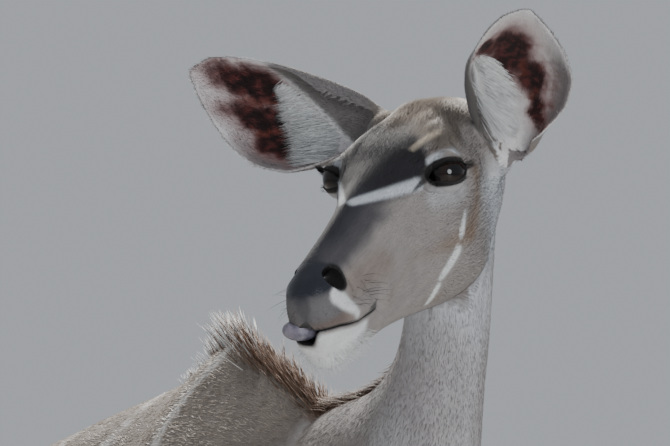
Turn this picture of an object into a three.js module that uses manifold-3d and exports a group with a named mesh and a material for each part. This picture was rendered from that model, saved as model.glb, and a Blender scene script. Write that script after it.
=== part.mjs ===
// A greater kudu cow, life size, standing still with her head turned to her right, chewing.
// Millimetres, +Z up. She faces +X, her left is +Y, and her hooves stand on Z = 0.
import * as THREE from "three";
import { mergeVertices } from "three/addons/utils/BufferGeometryUtils.js";
import Module from "manifold-3d";

const wasm = await Module();
wasm.setup();

// Driving sizes
const withersHeight = 1212; // skin on top of the shoulder hump
const headLength = 384; // poll to upper lip
const earLength = 200; // from its root inside the head
const eyeRadius = 19;
const cutGap = 0.3; // every cut between two parts is this wide
const footSpread = 96; // half the distance between left and right feet

const X = new THREE.Vector3(1, 0, 0);
const Y = new THREE.Vector3(0, 1, 0);
const Z = new THREE.Vector3(0, 0, 1);
const vec = (x, y, z) => new THREE.Vector3(x, y, z);
const mix = (a, b, t) => a + (b - a) * t;
const ease = (t) => {
  const k = Math.min(1, Math.max(0, t));
  return k * k * (3 - 2 * k);
};

// A repeatable random number in 0..1 for the variation between locks
function dice(seed) {
  let state = seed;
  return () => {
    state = (state * 1664525 + 1013904223) % 4294967296;
    return state / 4294967296;
  };
}

// Rows start with a place "at"; the other columns are joined by smooth curves that never overshoot
function smooth(rows, at) {
  const last = rows.length - 1;
  const rising = rows[last][0] > rows[0][0];
  let i = 0;
  while (i < last - 1 && (rising ? at > rows[i + 1][0] : at < rows[i + 1][0])) i += 1;
  const span = rows[i + 1][0] - rows[i][0];
  const t = Math.min(1, Math.max(0, (at - rows[i][0]) / span));
  const slope = (k, c) => {
    if (k === 0 || k === last) return 0;
    const before = (rows[k][c] - rows[k - 1][c]) / (rows[k][0] - rows[k - 1][0]);
    const after = (rows[k + 1][c] - rows[k][c]) / (rows[k + 1][0] - rows[k][0]);
    return before * after <= 0 ? 0 : (2 * before * after) / (before + after);
  };
  return rows[i].map((value, c) => {
    if (c === 0) return at;
    const next = rows[i + 1][c];
    const into = i === 0 ? (next - value) / span : slope(i, c);
    const out = i + 1 === last ? (next - value) / span : slope(i + 1, c);
    const t2 = t * t;
    const t3 = t2 * t;
    return (
      (2 * t3 - 3 * t2 + 1) * value +
      (t3 - 2 * t2 + t) * into * span +
      (3 * t2 - 2 * t3) * next +
      (t3 - t2) * out * span
    );
  });
}

// Where the rings of a loft go: evenly between each two rows
function ringPlaces(rows, steps) {
  const places = [];
  for (let i = 0; i < rows.length - 1; i += 1) {
    const count = Array.isArray(steps) ? steps[i] : steps;
    for (let k = 0; k < count; k += 1) places.push(mix(rows[i][0], rows[i + 1][0], k / count));
  }
  places.push(rows[rows.length - 1][0]);
  return places;
}

// One point of a section. A row is [at, low, mid, top, centre, wide, crown, keel]:
// low and top are its reach, mid the height where it is widest,
// crown and keel how square it is above and below
function sectionPoint(row, angle) {
  const [, low, mid, top, centre, wide, crown, keel] = row;
  const c = Math.cos(angle);
  const s = Math.sin(angle);
  const power = 2 / (c >= 0 ? crown : keel);
  const up = mid + (c >= 0 ? top - mid : mid - low) * Math.sign(c) * Math.abs(c) ** power;
  const side = centre + wide * Math.sign(s) * Math.abs(s) ** power;
  return [side, up];
}

// Wraps a sphere's grid onto rings: point(ring, turn) gives a vector,
// and the two ends are closed at the rings' middles
function wrap(around, rings, point, middle) {
  const geometry = new THREE.SphereGeometry(1, around, rings + 1);
  const position = geometry.attributes.position;
  const uv = geometry.attributes.uv;
  for (let i = 0; i < position.count; i += 1) {
    const line = Math.round((1 - uv.getY(i)) * (rings + 1));
    const column = i % (around + 1);
    const turn = ((column % around) / around) * 2 * Math.PI;
    const p =
      line === 0 ? middle(0) : line === rings + 1 ? middle(rings - 1) : point(line - 1, turn);
    position.setXYZ(i, p.x, p.y, p.z);
  }
  return solidFrom(geometry);
}

// A three.js geometry as a solid, turned inside out if its faces point inwards
function solidFrom(geometry) {
  const bare = geometry.index ? geometry.toNonIndexed() : geometry.clone();
  for (const name of Object.keys(bare.attributes)) {
    if (name !== "position") bare.deleteAttribute(name);
  }
  const merged = mergeVertices(bare, 1e-3);
  const corners = Array.from(merged.index.array);
  const at = merged.attributes.position;
  const kept = [];
  let volume = 0;
  const a = vec(0, 0, 0);
  const b = vec(0, 0, 0);
  const c = vec(0, 0, 0);
  for (let i = 0; i < corners.length; i += 3) {
    const [p, q, r] = corners.slice(i, i + 3);
    if (p === q || q === r || p === r) continue;
    kept.push(p, q, r);
    a.fromBufferAttribute(at, p);
    b.fromBufferAttribute(at, q);
    c.fromBufferAttribute(at, r);
    volume += a.dot(b.cross(c));
  }
  if (volume < 0) kept.reverse();
  return new wasm.Manifold(
    new wasm.Mesh({ numProp: 3, vertProperties: at.array, triVerts: new Uint32Array(kept) }),
  );
}

// The same sections a little larger all round
const grown = (rows, by) =>
  rows.map(([at, low, mid, top, centre, wide, ...square], i) => [
    at + (i < rows.length / 2 ? -by : by) * Math.sign(rows[rows.length - 1][0] - rows[0][0]),
    low - by,
    mid,
    top + by,
    centre,
    wide + by,
    ...square,
  ]);

// A closed body through rows of sections, put into the world by place(at, side, up)
function loft({ rows, steps, around, place, push = (p) => p }) {
  const places = ringPlaces(rows, steps);
  const ringRows = places.map((at) => smooth(rows, at));
  const point = (ring, turn) => {
    const row = ringRows[ring];
    const [side, up] = sectionPoint(row, turn);
    return place(...push([row[0], side, up]));
  };
  const middle = (ring) => {
    const row = ringRows[ring];
    return place(...push([row[0], row[4], row[2]]));
  };
  return wrap(around, places.length, point, middle);
}

// Soft bumps and hollows: each moves the points near "at" by "by", fading out over "reach"
function pushed(local, bumps) {
  const moved = [...local];
  for (const { at, reach, by } of bumps) {
    for (const side of at[1] === 0 ? [1] : [1, -1]) {
      const far =
        ((local[0] - at[0]) / reach[0]) ** 2 +
        ((local[1] - side * at[1]) / reach[1]) ** 2 +
        ((local[2] - at[2]) / reach[2]) ** 2;
      const share = Math.exp(-far);
      moved[0] += by[0] * share;
      moved[1] += by[1] * share * side;
      moved[2] += by[2] * share;
    }
  }
  return moved;
}

const union = (solids) => wasm.Manifold.union(solids);

// The part of a solid on the far side of a plane, half a cut away from it
function beyond(solid, point, normal) {
  const n = normal.clone().normalize();
  return solid.trimByPlane(n.toArray(), n.dot(point) + cutGap / 2);
}

function largest(solid) {
  return solid.decompose().sort((p, q) => q.volume() - p.volume())[0];
}

// Which corners each corner is joined to
function neighbours(corners, faces) {
  const beside = corners.map(() => new Set());
  for (const [p, q, r] of faces) {
    beside[p].add(q).add(r);
    beside[q].add(r).add(p);
    beside[r].add(p).add(q);
  }
  return beside;
}

// A solid as a mesh, with every edge shorter than "weld" that a cut left behind drawn into one corner.
// An edge is drawn together only where its ends share just the two corners beside it, so the skin
// stays whole, and where two corners only touch, each is drawn by "aside" towards its own neighbours
const weld = 0.08;
const aside = 0.04;
function meshFrom(solid) {
  const { vertProperties, triVerts } = solid.getMesh();
  const corners = Array.from({ length: vertProperties.length / 3 }, (_, i) =>
    vec(...vertProperties.slice(3 * i, 3 * i + 3)),
  );
  let faces = [];
  for (let i = 0; i < triVerts.length; i += 3) faces.push(Array.from(triVerts.slice(i, i + 3)));
  for (let drawn = true; drawn; ) {
    const beside = neighbours(corners, faces);
    const moved = new Map();
    const busy = new Set();
    for (const face of faces) {
      for (let k = 0; k < 3; k += 1) {
        const [p, q] = [face[k], face[(k + 1) % 3]];
        if (p > q || corners[p].distanceTo(corners[q]) >= weld) continue;
        if ([...beside[p], ...beside[q]].some((i) => busy.has(i))) continue;
        if ([...beside[p]].filter((i) => beside[q].has(i)).length !== 2) continue;
        moved.set(q, p);
        for (const i of [...beside[p], ...beside[q]]) busy.add(i);
      }
    }
    drawn = moved.size > 0;
    faces = faces
      .map((face) => face.map((i) => moved.get(i) ?? i))
      .filter((face) => new Set(face).size === 3);
  }
  const beside = neighbours(corners, faces);
  const taken = new Map();
  corners.forEach((corner, i) => {
    if (beside[i].size === 0) return;
    const key = corner.toArray().map((value) => value.toFixed(2)).join();
    if (taken.has(key)) {
      for (const k of [i, taken.get(key)]) {
        const middle = [...beside[k]].reduce((sum, n) => sum.add(corners[n]), vec(0, 0, 0));
        corners[k].lerp(middle.divideScalar(beside[k].size), aside);
      }
    }
    taken.set(key, i);
  });
  return new THREE.BufferGeometry()
    .setAttribute(
      "position",
      new THREE.BufferAttribute(new Float32Array(corners.flatMap((corner) => corner.toArray())), 3),
    )
    .setIndex(faces.flat());
}

// Torso: sections across the body, from the chest to the buttocks
const torsoRows = [
  // at, low, mid, top, centre, wide, crown, keel
  [322, 890, 935, 985, 0, 34, 2, 2],
  [300, 848, 930, 1022, 0, 72, 2, 2],
  [235, 772, 910, 1108, 0, 122, 1.8, 2.1],
  [150, 712, 890, 1158, 0, 158, 1.6, 2.1],
  [60, 672, 880, 1190, 0, 178, 1.45, 2.1],
  [-10, 657, 875, withersHeight, 0, 186, 1.35, 2.1],
  [-80, 650, 872, 1180, 0, 194, 1.4, 2.1],
  [-210, 638, 862, 1144, 0, 212, 1.7, 2.1],
  [-340, 626, 850, 1106, 0, 228, 1.95, 2.1],
  [-480, 626, 845, 1082, 0, 234, 2, 2.1],
  [-619, 648, 855, 1084, 0, 220, 2, 2.1],
  [-740, 690, 875, 1094, 0, 200, 1.95, 2.1],
  [-833, 736, 895, 1080, 0, 176, 1.9, 2.1],
  [-908, 790, 905, 1038, 0, 132, 2, 2.1],
  [-949, 840, 915, 990, 0, 80, 2, 2],
  [-961, 875, 918, 955, 0, 32, 2, 2],
];
const torsoBumps = [
  { at: [60, 128, 1010], reach: [80, 60, 150], by: [0, 14, 0] }, // shoulder blade
  { at: [225, 118, 860], reach: [70, 60, 80], by: [26, 12, 0] }, // point of the shoulder
  { at: [-140, 180, 980], reach: [60, 70, 150], by: [0, -14, 0] }, // hollow behind the shoulder
  { at: [-672, 175, 1025], reach: [45, 50, 40], by: [0, 14, 16] }, // hip bone
  { at: [-630, 200, 860], reach: [60, 60, 110], by: [0, -20, 0] }, // flank
  { at: [-815, 155, 880], reach: [100, 60, 130], by: [-6, 14, 0] }, // haunch
];
const inBody = (along, side, up) => vec(along, side, up);
const torso = loft({
  rows: torsoRows,
  steps: [1, 1, 2, 2, 2, 2, 2, 2, 2, 2, 2, 2, 2, 1, 1],
  around: 26,
  place: inBody,
  push: (p) => pushed(p, torsoBumps),
});

// Head: its own frame, from the top of the poll along the face (x), to its left (y) and up from the face (z)
const headOrigin = vec(459, -32, 1458);
const faceAxis = vec(0.557, -0.689, -0.464).normalize();
const headUp = vec(0.245, -0.398, 0.884).projectOnPlane(faceAxis).normalize();
const headLeft = new THREE.Vector3().crossVectors(headUp, faceAxis);
const inHead = (along, side, up) =>
  headOrigin
    .clone()
    .addScaledVector(faceAxis, along)
    .addScaledVector(headLeft, side)
    .addScaledVector(headUp, up);
const headWay = (along, side, up) => inHead(along, side, up).sub(headOrigin);

const headRows = [
  // at, low, mid, top, centre, wide, crown, keel
  [-34, -110, -76, -44, 0, 28, 2, 2],
  [-12, -140, -72, -27, 0, 43, 2.1, 2.1],
  [20, -158, -64, -13, 0, 50, 2.3, 2.2],
  [62, -169, -56, -3, 0, 54, 2.4, 2.4],
  [105, -172, -50, 3, 0, 57, 2.6, 2.6],
  [140, -165, -48, 4, 0, 55, 2.7, 2.6],
  [175, -154, -52, 2, 0, 47, 2.4, 2.5],
  [210, -143, -60, 0, 0, 39, 2.1, 2.4],
  [250, -133, -68, -2, 0, 33, 1.9, 2.3],
  [290, -126, -70, -4, 0, 30, 1.85, 2.3],
  [320, -119, -64, -6, 0, 29, 1.9, 2.2],
  [345, -110, -58, -9, 0, 28.5, 2, 2.2],
  [365, -96, -54, -14, 0, 26, 2.1, 2.2],
  [378, -78, -50, -24, 0, 19, 2.1, 2.2],
  [headLength, -62, -49, -36, 0, 10, 2, 2],
];
const headBumps = [
  { at: [134, 56, -14], reach: [30, 14, 13], by: [0, 9, 4] }, // brow over the eye
  { at: [158, 50, -58], reach: [30, 16, 14], by: [0, 4, 0] }, // rim below the eye
  { at: [100, 60, -54], reach: [42, 16, 12], by: [0, 5, 0] }, // cheekbone
  { at: [70, 50, -26], reach: [22, 14, 16], by: [0, -5, 0] }, // temple
  { at: [42, 20, -4], reach: [24, 18, 14], by: [0, 0, 5] }, // crown
  { at: [92, 0, 6], reach: [34, 16, 12], by: [0, 0, -3] }, // dip of the forehead
  { at: [132, 44, -112], reach: [42, 22, 38], by: [0, 8, 0] }, // chewing muscle
  { at: [205, 38, -95], reach: [36, 18, 22], by: [0, -3, 0] }, // hollow of the cheek
  { at: [250, 34, -38], reach: [50, 16, 20], by: [0, -5, 0] }, // side of the nose
  { at: [352, 27, -22], reach: [17, 11, 12], by: [1, 5, 1] }, // wing of the nostril
  { at: [338, 30, -62], reach: [26, 12, 13], by: [0, 4, 0] }, // upper lip
  { at: [330, 26, -98], reach: [26, 14, 12], by: [2, 4, 0] }, // lower lip
];
// Chewing slides the lower jaw to her right, more towards the chin
const jawSlide = 9;
function inChewingHead([along, side, up]) {
  const [x, y, z] = pushed([along, side, up], headBumps);
  const share = ease((x - 120) / 200) * ease((-62 - z) / 40);
  return [x, y - jawSlide * share, z];
}
const headLoft = loft({
  rows: headRows,
  steps: [1, 1, 2, 3, 3, 3, 2, 2, 2, 2, 2, 2, 2, 2],
  around: 34,
  place: inHead,
  push: inChewingHead,
});

// Neck: sections square to a curve that rises from the chest and turns up to the head
const neckLine = new THREE.CatmullRomCurve3([
  vec(60, 0, 925),
  vec(190, 0, 972),
  vec(290, 0, 1040),
  vec(364, 0, 1118),
  vec(413, -2, 1204),
  vec(439, -7, 1295),
  vec(450, -10, 1380),
]);
const neckRows = [
  // at, low, mid, top, centre, wide, crown, keel
  [0, -190, 0, 170, 0, 150, 1.8, 2],
  [1, -168, 0, 168, 0, 122, 1.6, 2],
  [2, -134, 0, 145, 0, 86, 1.5, 2],
  [3, -88, 0, 96, 0, 56, 1.6, 2.1],
  [4, -66, 0, 68, 0, 44, 1.8, 2.1],
  [5, -60, 0, 62, 0, 43, 1.9, 2.1],
  [6, -54, 0, 58, 0, 44, 2, 2.1],
];
function inNeck(along, side, up) {
  const t = along / (neckLine.points.length - 1);
  const tangent = neckLine.getTangent(t);
  const lean = 0.75 * ease((along - 2) / 4);
  const left = Y.clone().lerp(headLeft, lean).projectOnPlane(tangent).normalize();
  const rise = new THREE.Vector3().crossVectors(tangent, left);
  return neckLine.getPoint(t).addScaledVector(left, side).addScaledVector(rise, up);
}
const neckLoft = loft({ rows: neckRows, steps: 2, around: 24, place: inNeck });

// A flat tapered lock of hair from a sunken root, bending towards "droop" on its way to the tip
const lockBend = 0.42; // of its length
function lock({ root, way, droop, across, length, width, thick, sunk }) {
  const rings = 3;
  const blade = (ring) => {
    const t = ring / rings;
    const path = root
      .clone()
      .addScaledVector(way, mix(-sunk, length, t))
      .addScaledVector(droop, length * lockBend * t * t);
    const body = Math.sqrt(1 - 0.96 * t) * (0.75 + 0.5 * Math.sin(Math.PI * Math.min(1, t + 0.15)));
    return { path, half: (width / 2) * body, deep: (thick / 2) * body };
  };
  const flat = new THREE.Vector3().crossVectors(way, across).normalize();
  const point = (ring, turn) => {
    const { path, half, deep } = blade(ring);
    return path
      .addScaledVector(across, half * Math.cos(turn))
      .addScaledVector(flat, deep * Math.sin(turn));
  };
  return wrap(4, rings, point, (ring) => blade(ring === 0 ? 0 : rings).path);
}

// The crest of the neck and withers: locks in two staggered rows on either side of the top line
const crestLock = { width: 26, thick: 8, sunk: 12 };
function crest({ from, to, step, place, topOf, lengthAt, backwards, seed }) {
  const random = dice(seed);
  const locks = [];
  const count = Math.round(Math.abs(to - from) / step);
  for (let i = 0; i <= count; i += 1) {
    const at = mix(from, to, (i + 0.3 * (random() - 0.5)) / count);
    const side = (i % 2 ? 1 : -1) * (5 + 3 * random());
    const root = place(at, side, topOf(at) - 3);
    const out = place(at, side, topOf(at) + 10).sub(root).normalize();
    const back = backwards(at);
    const across = new THREE.Vector3().crossVectors(back, out).normalize();
    const outward = across.clone().multiplyScalar(side > 0 === across.y > 0 ? 0.22 : -0.22);
    const way = out.clone().addScaledVector(back, 0.45).add(outward).normalize();
    const along = out.clone().projectOnPlane(way).negate().normalize();
    const length = lengthAt(at) * (0.85 + 0.3 * random());
    locks.push(lock({ root, way, droop: back, across: along, length, ...crestLock }));
  }
  return locks;
}
const neckTop = (at) => smooth(neckRows, at)[3];
const torsoTop = (at) => smooth(torsoRows, at)[3];
const neckBack = (at) => neckLine.getTangent(at / 6).negate();
const neckCrest = crest({
  from: 5.6,
  to: 2.15,
  step: 0.24,
  place: inNeck,
  topOf: neckTop,
  lengthAt: (at) => mix(46, 30, at / 6),
  backwards: neckBack,
  seed: 7,
});
const withersCrest = crest({
  from: 185,
  to: -66,
  step: 14,
  place: inBody,
  topOf: torsoTop,
  lengthAt: (at) => mix(44, 14, ease(at > -5 ? (at + 5) / 260 : (-5 - at) / 80)),
  backwards: () => X.clone().negate(),
  seed: 11,
});

// The thick of the crest, a narrow ridge under the locks; "share" is how far it reaches to their tips
const crestShare = 0.45;
const crestHalf = 11;
const crestRows = (rows) =>
  rows.map(([at, root, height]) => {
    const top = root + height * crestShare;
    return [at, root - 22, root - 6, top, 0, crestHalf, 1.5, 2];
  });
const neckRidge = loft({
  rows: crestRows(
    [
      // at, top line of the neck, length of the hair
      [1.8, 146, 8],
      [2.2, 134, 26],
      [3.2, 88, 34],
      [4.4, 64, 36],
      [5.3, 58, 38],
      [5.75, 56, 34],
    ],
  ),
  steps: 2,
  around: 8,
  place: inNeck,
});
const withersRidge = loft({
  rows: crestRows(
    [
      [190, 1140, 20],
      [110, 1172, 32],
      [50, 1192, 38],
      [-5, 1210, 40],
      [-50, 1193, 20],
      [-86, 1178, 4],
    ],
  ),
  steps: 2,
  around: 8,
  place: inBody,
});

// Legs: level sections down each leg. Here up is forwards and side is to the left
const foreRows = [
  // at, low, mid, top, centre, wide, crown, keel
  [960, -50, 45, 150, 112, 60, 2, 2],
  [860, -48, 60, 172, 118, 60, 2, 2],
  [780, -42, 60, 158, 118, 55, 2, 2],
  [720, -30, 54, 134, 116, 48, 2, 2],
  [670, -12, 50, 110, 112, 41, 2, 2],
  [600, 8, 48, 89, 106, 33, 2, 2],
  [510, 19, 48, 78, 101, 27.5, 2, 2],
  [440, 20, 48, 78, 98, 27, 2.2, 2.2],
  [405, 19, 47, 79, 97, 28, 2.3, 2.2],
  [365, 22, 44, 70, 96, 24, 2.2, 2.2],
  [310, 24, 42, 62, 96, 18, 2, 2],
  [230, 22, 40, 59, 96, 16.5, 2, 2],
  [165, 16, 38, 61, 96, 20, 2.1, 2.1],
  [138, 12, 38, 64, 96, 22.5, 2.2, 2.1],
  [112, 20, 44, 68, 96, 20, 2.1, 2.1],
  [84, 28, 52, 78, 96, 20, 2.1, 2.1],
  [62, 30, 60, 92, 96, 25, 2.1, 2.1],
];
const hindRows = [
  [960, -905, -790, -650, 112, 64, 2, 2],
  [890, -918, -785, -625, 124, 70, 2, 2],
  [820, -910, -770, -612, 130, 72, 2, 2],
  [750, -886, -752, -614, 132, 64, 2, 2],
  [690, -856, -738, -628, 127, 53, 2, 2],
  [620, -850, -764, -684, 119, 41, 2, 2],
  [560, -866, -797, -740, 112, 32, 2, 2],
  [515, -893, -827, -781, 107, 26, 2, 2],
  [480, -910, -844, -806, 103, 26.5, 2.1, 2],
  [440, -890, -848, -814, 101, 27, 2.2, 2.1],
  [400, -874, -845, -814, 99, 24, 2.1, 2.1],
  [330, -864, -840, -817, 97, 19, 2, 2],
  [240, -856, -834, -813, 96, 18, 2, 2],
  [170, -856, -830, -805, 96, 21.5, 2.1, 2.1],
  [142, -858, -829, -801, 96, 24, 2.2, 2.1],
  [114, -848, -822, -797, 96, 20.5, 2.1, 2.1],
  [86, -838, -812, -784, 96, 21, 2.1, 2.1],
  [62, -836, -804, -770, 96, 26, 2.1, 2.1],
];
// How far each foot stands ahead of a square stance, and where the leg is parted
const legs = {
  foreleg_left: { rows: foreRows, side: 1, ahead: 34, foot: 60, top: 642, joint: 396 },
  foreleg_right: { rows: foreRows, side: -1, ahead: -26, foot: 60, top: 642, joint: 396 },
  hindleg_left: { rows: hindRows, side: 1, ahead: -44, foot: -804, top: 642, joint: 432 },
  hindleg_right: { rows: hindRows, side: -1, ahead: 30, foot: -804, top: 642, joint: 432 },
};
const stride = (z, ahead) => ahead * (1 - ease(z / 720));

// Each hoof has two toes, and two dewclaws hang behind the fetlock
const toeOffset = 15.4; // from the middle of the foot
const toeSplay = 0.05;
const toeRows = [
  [0, -34, -6, 46, 0, 14.5, 1.7, 2.4],
  [10, -34, -6, 45, 0, 15, 1.7, 2.4],
  [34, -31, -6, 32, 0, 14.5, 1.8, 2.3],
  [60, -27, -5, 20, 0, 13, 2, 2.2],
];
const clawRows = [
  [128, -9, 0, 9, 0, 7, 2, 2],
  [112, -12, -2, 9, 0, 8.5, 2, 2],
  [94, -12, -5, 3, 0, 5.5, 2, 2],
];

function makeLeg(name, { rows, side, ahead, foot, top, joint }) {
  const place = (z, across, forwards) => vec(forwards + stride(z, ahead), side * across, z);
  const whole = loft({ rows, steps: 1, around: 14, place });
  const clear = loft({ rows: grown(rows.slice(-8), cutGap * 1.5), steps: 1, around: 14, place });
  const low = rows[rows.length - 1][0];
  const heel = rows[rows.length - 3][1] - 1;
  const parts = {
    inTorso: beyond(whole, vec(0, 0, top), Z),
    upper: beyond(beyond(whole, vec(0, 0, joint), Z), vec(0, 0, top), Z.clone().negate()),
    lower: beyond(whole, vec(0, 0, joint), Z.clone().negate()),
  };
  const pieces = [];
  for (const [which, offset] of [
    ["inner", -toeOffset],
    ["outer", toeOffset],
  ]) {
    const splay = Math.sign(offset) * toeSplay;
    const toe = loft({
      rows: toeRows,
      steps: 1,
      around: 12,
      place: (z, across, forwards) =>
        vec(
          foot + stride(0, ahead) + 4 + forwards - (z / 60) * 3,
          side * (footSpread + offset + across + splay * forwards),
          z,
        ),
    });
    const hoof = beyond(toe, vec(0, 0, low - cutGap / 2), Z.clone().negate());
    pieces.push([`${name}_hoof_${which}`, hoof]);
    const claw = loft({
      rows: clawRows,
      steps: 1,
      around: 8,
      place: (z, across, forwards) =>
        vec(heel + stride(z, ahead) + forwards, side * (footSpread + offset * 0.85 + across), z),
    });
    pieces.push([`${name}_dewclaw_${which}`, largest(claw.subtract(clear))]);
  }
  return { parts, pieces };
}

// Ears: cupped leaves. Each has its own frame: out along the ear, across to its rear edge,
// and facing out of the cup
const earRows = [
  // share of the length, front edge, rear edge, how far each edge wraps round (degrees), depth
  [0, 22, 24, 168, 165, 22],
  [0.12, 27, 35, 165, 140, 27],
  [0.2, 30, 42, 162, 112, 30],
  [0.3, 32, 54, 156, 98, 32],
  [0.4, 33, 63, 140, 88, 32],
  [0.52, 33, 66, 116, 80, 30],
  [0.68, 30, 57, 88, 70, 24],
  [0.81, 27, 41, 72, 64, 16],
  [0.93, 20, 20, 60, 58, 8],
  [1, 6, 5, 50, 50, 3],
];
const ears = {
  ear_left: {
    root: [40, 66, -70],
    out: [0.224, 0.4, 0.889],
    facing: [0.928, 0.191, -0.32],
    side: 1,
    sway: -15,
    swell: [32, 46, -68],
  },
  ear_right: {
    root: [34, -57, -36],
    out: [-0.185, -0.945, 0.271],
    facing: [0.8, 0.02, 0.6],
    side: -1,
    sway: 0,
    swell: [34, -47, -40],
  },
};
const swellRadius = 24; // of the muscle round each ear's root
function makeEar({ root, out, facing, side, sway }) {
  const base = inHead(...root);
  const length = headWay(...out).normalize();
  const face = headWay(...facing).projectOnPlane(length).normalize();
  const rear = new THREE.Vector3().crossVectors(length, face).multiplyScalar(side);
  const wallAt = (t) => mix(5, 2.4, t);
  const rings = 14;
  const spot = (share, edge, depth) =>
    base
      .clone()
      .addScaledVector(length, share * earLength)
      .addScaledVector(rear, edge + sway * Math.sin(Math.PI * share))
      .addScaledVector(face, depth + 10 * share * share);
  // A place on the wall: sweep runs from -1 at the front edge round the back of the cup to 1 at the rear edge
  const wallSpot = (share, sweep, outside, solid = false) => {
    const [, front, back, wrapFront, wrapBack, depth] = smooth(earRows, share);
    const half = THREE.MathUtils.degToRad(sweep > 0 ? wrapBack : wrapFront);
    const wall = outside ? 0 : wallAt(share) * (1 - 0.55 * Math.abs(sweep) ** 3);
    const scale = Math.sin(Math.min(half, Math.PI / 2));
    const reach = (sweep > 0 ? back : front) - wall;
    const cup = solid ? -0.4 * depth : depth - wall;
    const floor = (Math.cos(half * sweep) - Math.cos(half)) / (1 - Math.cos(half));
    return spot(share, (reach * Math.sin(half * sweep)) / scale, -cup * floor + (outside ? 0 : 0.2));
  };
  // the shell goes round its back from one edge to the other and returns inside the cup; its root is solid
  const point = (ring, turn) => {
    const outside = turn <= Math.PI;
    const sweep = outside ? 1 - (2 * turn) / Math.PI : (2 * turn) / Math.PI - 3;
    return wallSpot(ring / (rings - 1), sweep, outside, ring === 0 && !outside);
  };
  const shell = wrap(20, rings, point, (ring) => {
    const share = ring === 0 ? 0 : 1;
    const depth = smooth(earRows, share)[5];
    return spot(share, 0, -depth * (ring === 0 ? 0.3 : 0.8));
  });
  return { shell, base, length, face, rear, wallSpot };
}

// Long white hairs that cross the cup of the ear from its front edge
const fringe = { count: 7, from: 0.22, to: 0.6, sweep: -0.66, width: 13, thick: 3.2, sunk: 3 };
function earFringe(ear, seed) {
  const random = dice(seed);
  const locks = [];
  for (let i = 0; i < fringe.count; i += 1) {
    const share = mix(fringe.from, fringe.to, i / (fringe.count - 1));
    const root = ear.wallSpot(share, fringe.sweep, false);
    const way = ear.rear
      .clone()
      .addScaledVector(ear.face, 0.22)
      .addScaledVector(ear.length, mix(0.1, 0.6, i / (fringe.count - 1)))
      .normalize();
    locks.push(
      lock({
        root,
        way,
        droop: ear.length,
        across: ear.length.clone().projectOnPlane(way).normalize(),
        length: mix(46, 32, i / fringe.count) * (0.9 + 0.2 * random()),
        width: fringe.width,
        thick: fringe.thick,
        sunk: fringe.sunk,
      }),
    );
  }
  return locks;
}

// Eyes, and the lids that close over them
const eyeSpot = (side) => [140, side * 50.5, -33];
const eyeWay = (side) => [0.42, side * 0.89, 0.12];
function ball(centre, radius) {
  const geometry = new THREE.SphereGeometry(radius, 14, 9);
  geometry.translate(centre.x, centre.y, centre.z);
  return solidFrom(geometry);
}
const eyeball = (side, radius) => ball(inHead(...eyeSpot(side)), radius);
const lidOpening = { half: 25, high: 11.5, thick: 3.4 };
function lids(side) {
  const centre = inHead(...eyeSpot(side));
  const look = headWay(...eyeWay(side)).normalize();
  const long = headWay(0.9, -side * 0.4, 0.13).projectOnPlane(look).normalize();
  const high = new THREE.Vector3().crossVectors(look, long).multiplyScalar(side);
  const around = 18;
  const sides = 5;
  const geometry = new THREE.TorusGeometry(1, 0.3, sides, around);
  const position = geometry.attributes.position;
  for (let i = 0; i < position.count; i += 1) {
    const turn = ((i % (around + 1)) / around) * 2 * Math.PI;
    const ring = (Math.floor(i / (around + 1)) / sides) * 2 * Math.PI;
    const c = Math.cos(turn);
    const s = Math.sin(turn);
    const x = lidOpening.half * c;
    const y = lidOpening.high * s * (s > 0 ? 1 : 0.85) * (1 - 0.25 * c * c);
    const bulge = Math.sqrt(Math.max(60, (eyeRadius + 1.2) ** 2 - x * x * 0.72 - y * y));
    const stout = lidOpening.thick * (s > 0 ? 1.25 : 0.9);
    const spread = 1 + (stout * Math.cos(ring)) / lidOpening.half;
    const p = centre
      .clone()
      .addScaledVector(long, x * spread)
      .addScaledVector(high, y * (1 + (stout * Math.cos(ring)) / lidOpening.high))
      .addScaledVector(look, bulge + stout * Math.sin(ring) - 0.6);
    position.setXYZ(i, p.x, p.y, p.z);
  }
  return solidFrom(geometry);
}

// The opening between the lips, nearly shut along the sides and open in front, where the tongue shows
const mouthRows = [
  // at, low, mid, top, centre, wide, crown, keel
  [282, -86.6, -86, -85.4, 0, 60, 4, 4],
  [300, -85, -83.4, -81.8, 0, 60, 4, 4],
  [318, -82.5, -78.5, -75, 0, 60, 4, 4],
  [336, -81, -74, -68, 0, 60, 4, 4],
  [354, -80, -70, -61.5, 0, 60, 4, 4],
  [370, -80, -67, -57, 0, 60, 4, 4],
  [400, -80, -65, -53, 0, 60, 4, 4],
];
const mouthGap = loft({ rows: mouthRows, steps: 1, around: 12, place: inHead });
const tongueRows = [
  [314, -80.5, -79, -77.5, -4, 5, 2, 2],
  [330, -80, -75, -70, -6, 16, 2.2, 2.2],
  [346, -79.5, -72, -64.5, -8, 20, 2.2, 2.2],
  [362, -79.2, -70.5, -60, -9, 19, 2.2, 2.2],
  [375, -78, -69, -60, -9, 13, 2, 2],
  [381, -73, -68.5, -64, -9, 5, 2, 2],
];
const tongue = (grow) =>
  loft({ rows: grown(tongueRows, grow), steps: 1, around: 12, place: inHead });

// Nostrils: curved hollows that open sideways below the wing
const nostrilRows = [
  [0, -1, 0, 1, 0, 1, 2, 2],
  [8, -4, 0, 4, 0, 7, 2, 2],
  [20, -6.5, 0, 6.5, 0, 12, 2, 2],
  [34, -8, 0, 8, 0, 15, 2, 2],
];
function nostril(side) {
  const inner = inHead(348, side * 8, -30);
  const way = headWay(0.42, side * 0.88, 0.2).normalize();
  const flat = headWay(0.86, 0, -0.5).projectOnPlane(way).normalize();
  const tall = new THREE.Vector3().crossVectors(way, flat);
  return loft({
    rows: nostrilRows,
    steps: 1,
    around: 12,
    place: (along, across, up) =>
      inner
        .clone()
        .addScaledVector(way, along)
        .addScaledVector(flat, across)
        .addScaledVector(tall, up),
  });
}

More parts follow.
